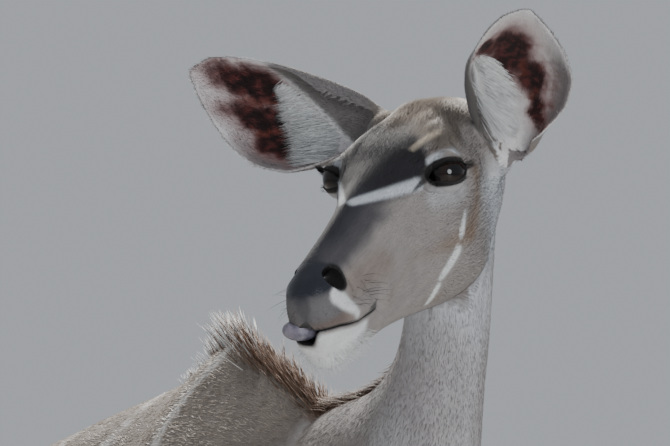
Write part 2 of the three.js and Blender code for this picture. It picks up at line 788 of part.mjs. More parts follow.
// Tail: a slim dock with a tuft that widens and tapers again, and locks in tiers round it
const tailLine = new THREE.CatmullRomCurve3([
  vec(-900, 0, 1018),
  vec(-955, 0, 1010),
  vec(-987, 0, 955),
  vec(-1001, 0, 880),
  vec(-1006, 0, 795),
  vec(-1004, 0, 705),
]);
const tailRows = [
  [0, -20, 0, 18, 0, 24, 2, 2],
  [1, -19, 0, 17, 0, 25, 2, 2],
  [2, -14, 0, 13, 0, 24, 2, 2],
  [3, -10, 0, 11, 0, 22, 2, 2],
  [4, -9, 0, 10, 0, 17, 2, 2],
  [5, -5, 0, 5, 0, 8, 2, 2],
];
function inTail(along, side, up) {
  const t = along / (tailLine.points.length - 1);
  const tangent = tailLine.getTangent(t);
  const rise = new THREE.Vector3().crossVectors(tangent, Y).negate();
  return tailLine.getPoint(t).addScaledVector(Y, side).addScaledVector(rise, up);
}
const tuft = { tiers: 4, each: 5, from: 1.9, to: 4.7, width: 21, thick: 6, sunk: 5, seed: 23 };
function tailLocks() {
  const random = dice(tuft.seed);
  const locks = [];
  for (let tier = 0; tier < tuft.tiers; tier += 1) {
    const lowness = tier / (tuft.tiers - 1);
    const at = mix(tuft.from, tuft.to, lowness);
    const row = smooth(tailRows, at);
    const down = tailLine.getTangent(at / 5);
    for (let i = 0; i < tuft.each; i += 1) {
      const turn = ((i + (tier % 2) * 0.5) / tuft.each) * 2 * Math.PI;
      const [side, up] = sectionPoint(row, turn);
      const root = inTail(at, side * 0.6, up * 0.6);
      const out = inTail(at, side, up).sub(tailLine.getPoint(at / 5)).normalize();
      const forwards = Math.max(0, out.x); // the side against the rump lies flatter
      const way = down.clone().addScaledVector(out, 0.3 - 0.2 * forwards).normalize();
      locks.push(
        lock({
          root,
          way,
          droop: down,
          across: new THREE.Vector3().crossVectors(out, down).normalize(),
          length: mix(86, 66, lowness) * (0.85 + 0.3 * random()),
          width: tuft.width,
          thick: tuft.thick,
          sunk: tuft.sunk,
        }),
      );
    }
  }
  return locks;
}

// Putting her together: all flesh is joined first and then parted by thin plane cuts
const legParts = Object.entries(legs).map(([name, leg]) => [name, makeLeg(name, leg)]);
const earParts = Object.entries(ears).map(([name, ear], i) => {
  const made = makeEar(ear);
  const cutAt = made.base.clone().addScaledVector(made.length, earLength * 0.16);
  const fringed = union([made.shell, ...earFringe(made, 31 + i)]);
  return [
    name,
    largest(beyond(fringed, cutAt, made.length)),
    beyond(made.shell, cutAt, made.length.clone().negate()),
  ];
});
const dock = loft({ rows: tailRows, steps: 2, around: 12, place: inTail });
const tailWhole = union([dock, ...tailLocks()]);
const tailCut = [tailLine.getPoint(0.27), tailLine.getTangent(0.27)];

const flesh = union([
  torso,
  neckLoft,
  headLoft,
  neckRidge,
  ...neckCrest,
  withersRidge,
  ...withersCrest,
  ...legParts.map(([, leg]) => leg.parts.inTorso),
  ...earParts.map(([, , root]) => root),
  ...Object.values(ears).map(({ swell }) => ball(inHead(...swell), swellRadius)),
  lids(1),
  lids(-1),
  beyond(tailWhole, tailCut[0], tailCut[1].clone().negate()),
]);
const neckBase = [vec(150, 0, 1140), vec(0.86, 0, 0.51)];
const neckHead = [inHead(-8, 0, -60), headWay(0.62, 0, 0.78)];
const hollows = union([
  mouthGap,
  tongue(cutGap * 2),
  nostril(1),
  nostril(-1),
  eyeball(1, eyeRadius + cutGap),
  eyeball(-1, eyeRadius + cutGap),
]);
const aheadOfTorso = beyond(flesh, ...neckBase);
const nodes = {
  torso: largest(beyond(flesh, neckBase[0], neckBase[1].clone().negate())),
  neck: largest(beyond(aheadOfTorso, neckHead[0], neckHead[1].clone().negate())),
  head: largest(beyond(aheadOfTorso, ...neckHead).subtract(hollows)),
  tongue: tongue(0),
  eye_left: eyeball(1, eyeRadius),
  eye_right: eyeball(-1, eyeRadius),
  tail: largest(beyond(tailWhole, ...tailCut)),
};
for (const [name, ear] of earParts) nodes[name] = ear;
for (const [name, { parts, pieces }] of legParts) {
  nodes[`${name}_upper`] = parts.upper;
  nodes[`${name}_lower`] = parts.lower;
  for (const [piece, solid] of pieces) nodes[piece] = solid;
}

// Finishes
const finish = (color, roughness) =>
  new THREE.MeshStandardMaterial({ color, roughness, metalness: 0 });
const coat = finish(0x8b7f76, 0.9);
const horn = finish(0x2b2725, 0.5);
const finishes = {
  tongue: finish(0x6f6a78, 0.35),
  eye_left: finish(0x1c120c, 0.08),
  eye_right: finish(0x1c120c, 0.08),
  ear_left: finish(0xa09690, 0.9),
  ear_right: finish(0xa09690, 0.9),
  tail: finish(0x6b5a4c, 0.95),
};

const kudu = new THREE.Group();
for (const [name, solid] of Object.entries(nodes)) {
  const geometry = meshFrom(solid);
  geometry.computeVertexNormals();
  const isHorn = /hoof|claw/.test(name);
  const mesh = new THREE.Mesh(geometry, finishes[name] ?? (isHorn ? horn : coat));
  mesh.name = name;
  kudu.add(mesh);
}
// The origin is on the ground below the middle of the whole animal
const middle = new THREE.Box3().setFromObject(kudu).getCenter(vec(0, 0, 0));
kudu.position.set(-middle.x, -middle.y, 0);

export default kudu;
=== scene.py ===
# A greater kudu cow, life size, standing still with her head turned to her right, chewing.
# Tables are in millimetres of her own body frame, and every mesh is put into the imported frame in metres.
import math

import bmesh
import bpy
import numpy as np
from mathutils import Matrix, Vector
from mathutils.bvhtree import BVHTree
from mathutils.kdtree import KDTree


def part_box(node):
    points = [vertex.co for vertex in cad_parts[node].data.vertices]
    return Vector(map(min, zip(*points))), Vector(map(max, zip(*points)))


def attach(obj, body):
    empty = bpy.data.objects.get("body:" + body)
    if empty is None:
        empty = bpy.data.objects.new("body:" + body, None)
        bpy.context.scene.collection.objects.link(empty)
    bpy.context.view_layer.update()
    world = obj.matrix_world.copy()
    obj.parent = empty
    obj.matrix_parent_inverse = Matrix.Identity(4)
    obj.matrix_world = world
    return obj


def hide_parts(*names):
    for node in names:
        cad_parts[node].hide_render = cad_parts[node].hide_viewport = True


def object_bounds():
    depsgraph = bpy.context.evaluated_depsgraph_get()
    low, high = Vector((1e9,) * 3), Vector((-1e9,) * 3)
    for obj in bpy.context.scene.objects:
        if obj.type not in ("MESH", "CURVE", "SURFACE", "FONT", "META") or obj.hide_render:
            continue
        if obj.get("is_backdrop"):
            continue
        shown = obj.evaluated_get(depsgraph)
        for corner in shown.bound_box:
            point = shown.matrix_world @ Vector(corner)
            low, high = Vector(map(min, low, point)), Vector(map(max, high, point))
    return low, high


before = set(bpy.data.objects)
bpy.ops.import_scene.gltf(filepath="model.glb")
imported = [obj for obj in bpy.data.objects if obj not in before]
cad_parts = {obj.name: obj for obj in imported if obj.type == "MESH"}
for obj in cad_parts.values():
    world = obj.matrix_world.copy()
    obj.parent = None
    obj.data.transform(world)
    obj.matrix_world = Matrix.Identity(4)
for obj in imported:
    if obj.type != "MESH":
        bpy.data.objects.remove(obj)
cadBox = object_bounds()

mm = 0.001
scene = bpy.context.scene

print("1 measures")


def unit(v):
    v = np.asarray(v, float)
    return v / np.maximum(np.linalg.norm(v, axis=-1, keepdims=True), 1e-12)


def square(v, axis):  # the part of v that is square to a unit axis, as a unit vector
    v = np.asarray(v, float)
    return unit(v - (v * axis).sum(-1, keepdims=True) * axis)


def ease(t):
    k = np.clip(t, 0, 1)
    return k * k * (3 - 2 * k)


def mix(a, b, t):
    return a + (b - a) * t


def smooth(rows, at):  # rows start with a place; smooth curves that never overshoot join the other columns
    table = np.array(rows, float)
    if table[-1, 0] < table[0, 0]:
        table = table[::-1]
    at = np.atleast_1d(np.asarray(at, float))
    last = len(table) - 1
    i = np.clip(np.searchsorted(table[:, 0], at, side="right") - 1, 0, last - 1)
    span = np.diff(table[:, 0])
    step = np.diff(table, axis=0) / span[:, None]
    slope = np.zeros_like(table)
    before, after = step[:-1], step[1:]
    with np.errstate(divide="ignore", invalid="ignore"):
        slope[1:-1] = np.where(before * after > 0, 2 * before * after / (before + after), 0)
    slope[0], slope[-1] = step[0], step[-1]
    t = np.clip((at - table[i, 0]) / span[i], 0, 1)[:, None]
    t2, t3 = t * t, t * t * t
    wide = span[i][:, None]
    out = ((2 * t3 - 3 * t2 + 1) * table[i] + (t3 - 2 * t2 + t) * slope[i] * wide
           + (3 * t2 - 2 * t3) * table[i + 1] + (t3 - t2) * slope[i + 1] * wide)
    out[:, 0] = at
    return out


def sectionPoint(row, angle):  # crown and keel, the last two columns, say how square the section is
    low, mid, top, centre, wide, crown, keel = (row[:, k] for k in range(1, 8))
    c, s = np.cos(angle), np.sin(angle)
    power = 2 / np.where(c >= 0, crown, keel)
    up = mid + np.where(c >= 0, top - mid, mid - low) * np.sign(c) * np.abs(c) ** power
    return centre + wide * np.sign(s) * np.abs(s) ** power, up


def pushed(local, bumps):  # soft bumps and hollows, the same on both sides
    moved = local.copy()
    for at, reach, by in bumps:
        for side in ([1] if at[1] == 0 else [1, -1]):
            away = (local - np.array([at[0], side * at[1], at[2]])) / reach
            share = np.exp(-(away ** 2).sum(1))[:, None]
            moved += share * np.array([by[0], by[1] * side, by[2]])
    return moved


# Her body frame stands on the ground below the withers and heads along X, with her left on Y
headOrigin = np.array([459, -32, 1458.0])
faceAxis = unit([0.557, -0.689, -0.464])
headUp = square([0.245, -0.398, 0.884], faceAxis)
headLeft = np.cross(headUp, faceAxis)
headTurn = np.array([faceAxis, headLeft, headUp])


def inHead(local):
    return headOrigin + np.atleast_2d(np.asarray(local, float)) @ headTurn


def headWay(local):
    return np.asarray(local, float) @ headTurn


def toHead(places):
    return (places - headOrigin) @ headTurn.T


eyeSpot = np.array([140, 50.5, -33.0])
eyeCentre = np.array(sum(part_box("eye_left"), Vector())) / 2
shift = eyeCentre / mm - inHead(eyeSpot)[0]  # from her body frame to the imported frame


def toWorld(places):
    return (np.atleast_2d(places) + shift) * mm


def toBody(places):
    return np.asarray(places) / mm - shift


class Curve:  # a centripetal Catmull-Rom curve, with its place counted in points
    def __init__(self, points):
        self.p = np.array(points, float)
        self.last = len(points) - 1

    def at(self, along):
        along = np.clip(np.atleast_1d(np.asarray(along, float)), 0, self.last)
        i = np.minimum(along.astype(int), self.last - 1)
        t = (along - i)[:, None]
        p = np.vstack([2 * self.p[0] - self.p[1], self.p, 2 * self.p[-1] - self.p[-2]])
        a, b, c, d = p[i], p[i + 1], p[i + 2], p[i + 3]
        gap = lambda m, n: np.sqrt(np.linalg.norm(n - m, axis=1))[:, None]
        g0, g1, g2 = gap(a, b), gap(b, c), gap(c, d)
        s1 = ((b - a) / g0 - (c - a) / (g0 + g1) + (c - b) / g1) * g1
        s2 = ((c - b) / g1 - (d - b) / (g1 + g2) + (d - c) / g2) * g1
        return (b + s1 * t + (3 * (c - b) - 2 * s1 - s2) * t * t + (2 * (b - c) + s1 + s2) * t ** 3)

    def way(self, along):
        along = np.atleast_1d(np.asarray(along, float))
        d = 1e-3
        return unit(self.at(np.minimum(along + d, self.last)) - self.at(np.maximum(along - d, 0)))


torso = {
    "rows": [
        [322, 890, 935, 985, 0, 34, 2, 2],
        [300, 848, 930, 1022, 0, 72, 2, 2],
        [235, 772, 910, 1108, 0, 122, 1.8, 2.1],
        [150, 712, 890, 1158, 0, 158, 1.6, 2.1],
        [60, 672, 880, 1190, 0, 178, 1.45, 2.1],
        [-10, 657, 875, 1212, 0, 186, 1.35, 2.1],
        [-80, 650, 872, 1180, 0, 194, 1.4, 2.1],
        [-210, 638, 862, 1144, 0, 212, 1.7, 2.1],
        [-340, 626, 850, 1106, 0, 228, 1.95, 2.1],
        [-480, 626, 845, 1082, 0, 234, 2, 2.1],
        [-619, 648, 855, 1084, 0, 220, 2, 2.1],
        [-740, 690, 875, 1094, 0, 200, 1.95, 2.1],
        [-833, 736, 895, 1080, 0, 176, 1.9, 2.1],
        [-908, 790, 905, 1038, 0, 132, 2, 2.1],
        [-949, 840, 915, 990, 0, 80, 2, 2],
        [-961, 875, 918, 955, 0, 32, 2, 2],
    ],
    "bumps": [
        ([60, 128, 1010], [80, 60, 150], [0, 14, 0]),  # shoulder blade
        ([225, 118, 860], [70, 60, 80], [26, 12, 0]),  # point of the shoulder
        ([-140, 180, 980], [60, 70, 150], [0, -14, 0]),  # hollow behind the shoulder
        ([-672, 175, 1025], [45, 50, 40], [0, 14, 16]),  # hip bone
        ([-630, 200, 860], [60, 60, 110], [0, -20, 0]),  # flank
        ([-815, 155, 880], [100, 60, 130], [-6, 14, 0]),  # haunch
    ],
}
head = {
    "rows": [
        [-34, -110, -76, -44, 0, 28, 2, 2],
        [-12, -140, -72, -27, 0, 43, 2.1, 2.1],
        [20, -158, -64, -13, 0, 50, 2.3, 2.2],
        [62, -169, -56, -3, 0, 54, 2.4, 2.4],
        [105, -172, -50, 3, 0, 57, 2.6, 2.6],
        [140, -165, -48, 4, 0, 55, 2.7, 2.6],
        [175, -154, -52, 2, 0, 47, 2.4, 2.5],
        [210, -143, -60, 0, 0, 39, 2.1, 2.4],
        [250, -133, -68, -2, 0, 33, 1.9, 2.3],
        [290, -126, -70, -4, 0, 30, 1.85, 2.3],
        [320, -119, -64, -6, 0, 29, 1.9, 2.2],
        [345, -110, -58, -9, 0, 28.5, 2, 2.2],
        [365, -96, -54, -14, 0, 26, 2.1, 2.2],
        [378, -78, -50, -24, 0, 19, 2.1, 2.2],
        [384, -62, -49, -36, 0, 10, 2, 2],
    ],
    "bumps": [
        ([134, 56, -14], [30, 14, 13], [0, 9, 4]),  # brow over the eye
        ([158, 50, -58], [30, 16, 14], [0, 4, 0]),  # rim below the eye
        ([100, 60, -54], [42, 16, 12], [0, 5, 0]),  # cheekbone
        ([70, 50, -26], [22, 14, 16], [0, -5, 0]),  # temple
        ([42, 20, -4], [24, 18, 14], [0, 0, 5]),  # crown
        ([92, 0, 6], [34, 16, 12], [0, 0, -3]),  # dip of the forehead
        ([132, 44, -112], [42, 22, 38], [0, 8, 0]),  # chewing muscle
        ([205, 38, -95], [36, 18, 22], [0, -3, 0]),  # hollow of the cheek
        ([250, 34, -38], [50, 16, 20], [0, -5, 0]),  # side of the nose
        ([352, 27, -22], [17, 11, 12], [1, 5, 1]),  # wing of the nostril
        ([338, 30, -62], [26, 12, 13], [0, 4, 0]),  # upper lip
        ([330, 26, -98], [26, 14, 12], [2, 4, 0]),  # lower lip
    ],
    "folds": [  # finer forms of the skin over the solids' own
        ([346, 31, -20], [10, 8, 6], [0, 3.2, 2]),  # rim over the nostril
        ([338, 31, -40], [9, 8, 7], [0, 2.6, -1]),  # rim under the nostril
        ([327, 29, -32], [5, 9, 15], [0, -3.4, -0.6]),  # groove behind the nostril
        ([308, 26, -22], [16, 9, 9], [0, 2.2, 0.6]),  # swelling behind that groove
        ([362, 0, -20], [9, 7, 12], [-2.2, 0, -1.2]),  # dip between the nostrils
        ([372, 0, -52], [10, 3.2, 14], [-2.6, 0, 0]),  # cleft of the upper lip
        ([318, 28, -70], [24, 9, 7], [0, 3, -1.5]),  # fleshy side of the upper lip
        ([338, 26, -52], [18, 8, 5], [0, -1.8, 0]),  # line between nose and lip
        ([278, 30, -88], [7, 9, 9], [0, -3.2, 0]),  # corner of the mouth
        ([262, 30, -92], [9, 9, 13], [0, 1.8, 0]),
        ([345, 10, -106], [22, 15, 9], [3, 0, -6]),  # chin
        ([216, 37, -62], [46, 10, 8], [0, 3.2, 0]),  # ridge of the cheek
        ([196, 36, -118], [30, 10, 10], [0, -2, 0]),
        ([100, 46, -150], [34, 14, 18], [0, 4, 0]),  # angle of the jaw
        ([104, 54, -18], [13, 9, 9], [0, -3.4, -1]),  # hollow over the eye
        ([236, 6, 0], [70, 10, 6], [0, 0, 1.6]),  # bridge of the nose
        ([150, 47, -2], [30, 8, 6], [0, 1.5, 2.5]),  # edge of the brow
        ([114, 38, 0], [22, 5, 8], [0, 0.6, 2.6]),  # wrinkles over the brow
        ([132, 33, 2], [20, 4.5, 8], [0, 0.4, 2.2]),
        ([96, 30, 2], [16, 5, 8], [0, 0.4, 2.4]),
        ([84, 14, 2], [14, 6, 8], [0, 0, 1.8]),
    ],
    "jawSlide": 9,  # chewing slides the lower jaw to her right
}
neckLine = Curve([
    [60, 0, 925], [190, 0, 972], [290, 0, 1040], [364, 0, 1118],
    [413, -2, 1204], [439, -7, 1295], [450, -10, 1380],
])
neck = {
    "rows": [
        [0, -190, 0, 170, 0, 150, 1.8, 2],
        [1, -168, 0, 168, 0, 122, 1.6, 2],
        [2, -134, 0, 145, 0, 86, 1.5, 2],
        [3, -88, 0, 96, 0, 56, 1.6, 2.1],
        [4, -66, 0, 68, 0, 44, 1.8, 2.1],
        [5, -60, 0, 62, 0, 43, 1.9, 2.1],
        [6, -54, 0, 58, 0, 44, 2, 2.1],
    ],
}
tailLine = Curve([
    [-900, 0, 1018], [-955, 0, 1010], [-987, 0, 955], [-1001, 0, 880], [-1006, 0, 795], [-1004, 0, 705],
])
tail = {
    "rows": [
        [0, -20, 0, 18, 0, 24, 2, 2],
        [1, -19, 0, 17, 0, 25, 2, 2],
        [2, -14, 0, 13, 0, 24, 2, 2],
        [3, -10, 0, 11, 0, 22, 2, 2],
        [4, -9, 0, 10, 0, 17, 2, 2],
        [5, -5, 0, 5, 0, 8, 2, 2],
    ],
}
foreRows = [
    [960, -50, 45, 150, 112, 60, 2, 2],
    [860, -48, 60, 172, 118, 60, 2, 2],
    [780, -42, 60, 158, 118, 55, 2, 2],
    [720, -30, 54, 134, 116, 48, 2, 2],
    [670, -12, 50, 110, 112, 41, 2, 2],
    [600, 8, 48, 89, 106, 33, 2, 2],
    [510, 19, 48, 78, 101, 27.5, 2, 2],
    [440, 20, 48, 78, 98, 27, 2.2, 2.2],
    [405, 19, 47, 79, 97, 28, 2.3, 2.2],
    [365, 22, 44, 70, 96, 24, 2.2, 2.2],
    [310, 24, 42, 62, 96, 18, 2, 2],
    [230, 22, 40, 59, 96, 16.5, 2, 2],
    [165, 16, 38, 61, 96, 20, 2.1, 2.1],
    [138, 12, 38, 64, 96, 22.5, 2.2, 2.1],
    [112, 20, 44, 68, 96, 20, 2.1, 2.1],
    [84, 28, 52, 78, 96, 20, 2.1, 2.1],
    [62, 30, 60, 92, 96, 25, 2.1, 2.1],
]
hindRows = [
    [960, -905, -790, -650, 112, 64, 2, 2],
    [890, -918, -785, -625, 124, 70, 2, 2],
    [820, -910, -770, -612, 130, 72, 2, 2],
    [750, -886, -752, -614, 132, 64, 2, 2],
    [690, -856, -738, -628, 127, 53, 2, 2],
    [620, -850, -764, -684, 119, 41, 2, 2],
    [560, -866, -797, -740, 112, 32, 2, 2],
    [515, -893, -827, -781, 107, 26, 2, 2],
    [480, -910, -844, -806, 103, 26.5, 2.1, 2],
    [440, -890, -848, -814, 101, 27, 2.2, 2.1],
    [400, -874, -845, -814, 99, 24, 2.1, 2.1],
    [330, -864, -840, -817, 97, 19, 2, 2],
    [240, -856, -834, -813, 96, 18, 2, 2],
    [170, -856, -830, -805, 96, 21.5, 2.1, 2.1],
    [142, -858, -829, -801, 96, 24, 2.2, 2.1],
    [114, -848, -822, -797, 96, 20.5, 2.1, 2.1],
    [86, -838, -812, -784, 96, 21, 2.1, 2.1],
    [62, -836, -804, -770, 96, 26, 2.1, 2.1],
]
legs = {  # how far each foot stands ahead of a square stance
    "foreleg_left": {"rows": foreRows, "side": 1, "ahead": 34, "foot": 60},
    "foreleg_right": {"rows": foreRows, "side": -1, "ahead": -26, "foot": 60},
    "hindleg_left": {"rows": hindRows, "side": 1, "ahead": -44, "foot": -804},
    "hindleg_right": {"rows": hindRows, "side": -1, "ahead": 30, "foot": -804},
}
earRows = [  # share of the length, front edge, rear edge, how far each edge wraps round in degrees, depth
    [0, 22, 24, 168, 165, 22],
    [0.12, 27, 35, 165, 140, 27],
    [0.2, 30, 42, 162, 112, 30],
    [0.3, 32, 54, 156, 98, 32],
    [0.4, 33, 63, 140, 88, 32],
    [0.52, 33, 66, 116, 80, 30],
    [0.68, 30, 57, 88, 70, 24],
    [0.81, 27, 41, 72, 64, 16],
    [0.93, 20, 20, 60, 58, 8],
    [1, 6, 5, 50, 50, 3],
]
earLength = 200
ears = {
    "ear_left": {
        "root": [40, 66, -70], "out": [0.224, 0.4, 0.889], "facing": [0.928, 0.191, -0.32],
        "side": 1, "sway": -15, "swell": [32, 46, -68],
    },
    "ear_right": {
        "root": [34, -57, -36], "out": [-0.185, -0.945, 0.271], "facing": [0.8, 0.02, 0.6],
        "side": -1, "sway": 0, "swell": [34, -47, -40],
    },
}
cups = {  # places inside each ear, as millimetres along it and towards its rear edge
    "ear_left": {
        "lobes": [(120, -8, 40, 20), (127, -32, 17, 9), (88, 14, 24, 14), (53, 21, 19, 9)],
        "ridges": [((104, 5), (88, 4)), ((70, 20), (60, 12))],
        "margin": [(0, -6), (28, -20), (72, -35), (106, -40), (140, -48), (200, -60)],
        "fringe": [
            (118, -38, 92, -10), (104, -37, 76, 2), (88, -35, 60, 8), (70, -33, 46, 10),
            (50, -27, 30, 9), (38, -22, 20, 6), (30, -17, 14, 3),
        ],
    },
    "ear_right": {
        "lobes": [(143, -7, 44, 15), (124, 21, 38, 13), (100, 39, 27, 12)],
        "ridges": [((160, 13), (98, -1)), ((126, 35), (96, 23))],
        "margin": [(0, 26), (30, 18), (44, 12), (84, -7), (104, -16), (130, -27), (200, -50)],
        "fringe": [
            (116, -20, 122, -6), (104, -16, 120, -2), (92, -11, 116, 8), (78, -4, 112, 17),
            (60, 4, 102, 28), (46, 12, 92, 40), (42, 24, 86, 50), (46, 40, 80, 58),
        ],
    },
}


def inBody(along, side, up):
    return np.stack([along, side, up], 1)


def inChewingHead(along, side, up):
    p = pushed(pushed(np.stack([along, side, up], 1), head["bumps"]), head["folds"])
    p[:, 1] -= head["jawSlide"] * ease((p[:, 0] - 120) / 200) * ease((-62 - p[:, 2]) / 40)
    return inHead(p)


def inNeck(along, side, up):
    way = neckLine.way(along)
    lean = (0.75 * ease((np.asarray(along) - 2) / 4))[:, None]
    left = square(mix(np.array([0, 1, 0]), headLeft, lean), way)
    rise = np.cross(way, left)
    return neckLine.at(along) + left * side[:, None] + rise * up[:, None]


def inTail(along, side, up):
    way = tailLine.way(along)
    left = np.broadcast_to([0.0, 1.0, 0.0], way.shape)
    return tailLine.at(along) + left * side[:, None] - np.cross(way, left) * up[:, None]


def stride(z, ahead):
    return ahead * (1 - ease(np.asarray(z) / 720))


def inLeg(leg):
    return lambda z, across, forwards: np.stack(
        [forwards + stride(z, leg["ahead"]), leg["side"] * across, z + 0 * across], 1)


class Ear:  # a cupped leaf, whose wall runs from its front edge round the back of the cup to its rear edge
    def __init__(self, root, out, facing, side, sway, swell):
        self.base = inHead(root)[0]
        self.length = unit(headWay(out))
        self.face = square(headWay(facing), self.length)
        self.rear = np.cross(self.length, self.face) * side
        self.sway, self.swell, self.side = sway, swell, side

    def spot(self, share, edge, depth):
        share = np.atleast_1d(share)
        return (self.base + np.outer(share * earLength, self.length)
                + np.outer(edge + self.sway * np.sin(np.pi * share), self.rear)
                + np.outer(depth + 10 * share ** 2, self.face))

    def wall(self, share, sweep, outside, solid=False, thick=(5.6, 4.2)):
        row = smooth(earRows, share)
        half = np.radians(np.where(sweep > 0, row[:, 4], row[:, 3]))
        inner = mix(thick[0], thick[1], share) * (1 - 0.2 * np.abs(sweep) ** 3)
        inner = np.where(outside, 0, inner)
        scale = np.sin(np.minimum(half, np.pi / 2))
        reach = np.where(sweep > 0, row[:, 2], row[:, 1]) - inner
        cup = np.where(solid, -0.4 * row[:, 5], row[:, 5] - inner)
        floor = (np.cos(half * sweep) - np.cos(half)) / (1 - np.cos(half))
        depth = -cup * floor + np.where(outside, 0, 0.2)
        return self.spot(share, reach * np.sin(half * sweep) / scale, depth)


def toEar(ear, places):  # along the ear, towards its rear edge, and out of its cup
    return (places - ear.base) @ np.array([ear.length, ear.rear, ear.face]).T


earShapes = {name: Ear(**ear) for name, ear in ears.items()}


def meshObject(name, bm):
    mesh = bpy.data.meshes.new(name)
    bm.to_mesh(mesh)
    bm.free()
    mesh.polygons.foreach_set("use_smooth", np.ones(len(mesh.polygons), bool))
    ob = bpy.data.objects.new(name, mesh)
    scene.collection.objects.link(ob)
    return ob


def outwards(bm):  # a closed shell with its faces turned out
    bm.normal_update()
    if bm.calc_volume(signed=True) < 0:
        bmesh.ops.reverse_faces(bm, faces=bm.faces)
    return bm


def wrapped(around, rings, point, middle):  # a sphere's grid laid onto rings, its poles at the rings' middles
    bm = bmesh.new()
    bmesh.ops.create_uvsphere(bm, u_segments=around, v_segments=rings + 1, radius=1)
    bm.verts.ensure_lookup_table()
    co = np.array([v.co for v in bm.verts])
    line = np.rint(np.arccos(np.clip(co[:, 2], -1, 1)) / np.pi * (rings + 1)).astype(int)
    turn = np.rint(np.arctan2(co[:, 1], co[:, 0]) / (2 * np.pi) * around) % around / around * 2 * np.pi
    inner = (line > 0) & (line <= rings)
    out = np.empty_like(co)
    out[inner] = point(line[inner] - 1, turn[inner])
    out[line == 0] = middle(0)
    out[line == rings + 1] = middle(rings - 1)
    for v, p in zip(bm.verts, toWorld(out)):
        v.co = p
    return outwards(bm)


def lofted(rows, place, around, gap, inset=0.0):  # gap is how far apart its rings are in the rows' own unit
    first, last = rows[0][0], rows[-1][0]
    rings = max(3, int(round(abs(last - first) / gap)) + 1)
    at = np.linspace(first, last, rings)
    table = smooth(rows, at)
    table[:, 1] += inset
    table[:, 3] -= inset
    table[:, 5] = np.maximum(table[:, 5] - inset, 0.5)
    point = lambda ring, turn: place(at[ring], *sectionPoint(table[ring], turn))
    middle = lambda ring: place(at[[ring]], table[[ring], 4], table[[ring], 2])[0]
    return wrapped(around, rings, point, middle)


def joined(name, meshes):
    whole = bmesh.new()
    for bm in meshes:
        part = bpy.data.meshes.new("part")
        bm.to_mesh(part)
        bm.free()
        whole.from_mesh(part)
        bpy.data.meshes.remove(part)
    return meshObject(name, whole)


def settled(ob):  # its modifiers applied
    done = bpy.data.meshes.new_from_object(ob.evaluated_get(bpy.context.evaluated_depsgraph_get()))
    old = ob.data
    ob.modifiers.clear()
    ob.data = done
    bpy.data.meshes.remove(old)
    done.polygons.foreach_set("use_smooth", np.ones(len(done.polygons), bool))
    return ob


def ball(centre, radius, around=48, rings=32):
    bm = bmesh.new()
    bmesh.ops.create_uvsphere(bm, u_segments=around, v_segments=rings, radius=radius * mm)
    bmesh.ops.translate(bm, verts=bm.verts, vec=Vector(toWorld(centre)[0]))
    return bm


print("2 skin")

skinLook = {
    "voxel": 4,  # fineness of the fused body
    "kept": 0.17,  # share of the body's faces that stays
    "earVoxel": 1.3,
    "earKept": 0.3,
    "mouthLine": [  # along the head, height at which the lips meet
        [281, -90], [300, -86.5], [318, -81.5], [334, -77], [346, -72], [358, -67.5], [370, -63], [400, -58],
    ],
    "gape": {"side": 10, "over": 14, "from": 338, "within": 26, "low": -77, "high": -56},
    "socket": 0.6,  # room round each eye
    "opening": 3.2,  # how far the skin's own opening lies behind the edges of the lids
}
eyeLook = {
    "shift": [0.6, -0.6, 2.8],  # from the middle of the solid's eye
    "radius": 19.4,
    "cornea": 0.9,  # how far it stands out of the ball
    "look": [0.5, 0.8, 0.33],
    "tilt": 18,  # degrees that the corner by the nose is turned up
    "middle": 4,  # of the opening, towards her nose
    "half": 19.5,
    "high": 8.6,
    "deep": 9.4,
}


class Eye:
    def __init__(self, side):
        self.side = side
        self.centre = inHead((eyeSpot + eyeLook["shift"]) * [1, side, 1])[0]
        self.look = unit(headWay(np.array(eyeLook["look"]) * [1, side, 1]))
        flat = square(headWay([0.9, -side * 0.4, 0]), self.look)
        tilt = math.radians(eyeLook["tilt"])
        upright = np.cross(flat, self.look) * side
        self.long = flat * math.cos(tilt) + upright * math.sin(tilt)  # towards her nose
        self.high = np.cross(self.long, self.look) * side

    def at(self, x, y, out):
        return self.centre + np.outer(x, self.long) + np.outer(y, self.high) + np.outer(out, self.look)

    def inside(self, places):
        return (places - self.centre) @ np.array([self.long, self.high, self.look]).T

    def opening(self, turn, wider=0.0):  # the almond between the lids, with its front corner drawn down
        c, s = np.cos(turn), np.sin(turn)
        x = eyeLook["middle"] + (eyeLook["half"] + wider) * c + 2.5 * ease((c - 0.7) / 0.3)
        y = (np.where(s > 0, eyeLook["high"], eyeLook["deep"]) + wider) * s * (1 - 0.22 * c * c)
        return x, y - 2.5 * ease((c - 0.5) / 0.5)


def mouthEdges(along, side):  # her lips meet on her left, and part where the tongue shows
    line = smooth(skinLook["mouthLine"], along)[:, 1]
    gape = skinLook["gape"]
    share = ease((gape["side"] - side) / gape["over"]) * ease((along - gape["from"]) / gape["within"])
    return mix(line - 0.5, gape["low"], share), mix(line + 0.5, gape["high"], share)


def inMouth(along, side, up):
    low, high = mouthEdges(along, side)
    return inHead(np.stack([along, side, (low + high) / 2 + up * (high - low) / 2], 1))


def nostrilCut(side):
    inner = inHead([343, side * 7, -28])[0]
    way = unit(headWay([0.42, side * 0.88, 0.2]))
    flat = square(headWay([0.86, 0, -0.5]), way)
    tall = np.cross(way, flat)
    rows = [
        [0, -1, 0, 1, 0, 1, 2, 2],
        [6, -8, 0, 8, 0, 7.5, 2, 2],
        [15, -13.5, 0, 13.5, 0, 9.5, 2, 2],
        [34, -17, 0, 17, 0, 11.5, 2, 2],
    ]
    place = lambda along, across, up: (
        inner + np.outer(along, way) + np.outer(across, flat) + np.outer(up, tall)
    )
    return lofted(rows, place, 24, 2)


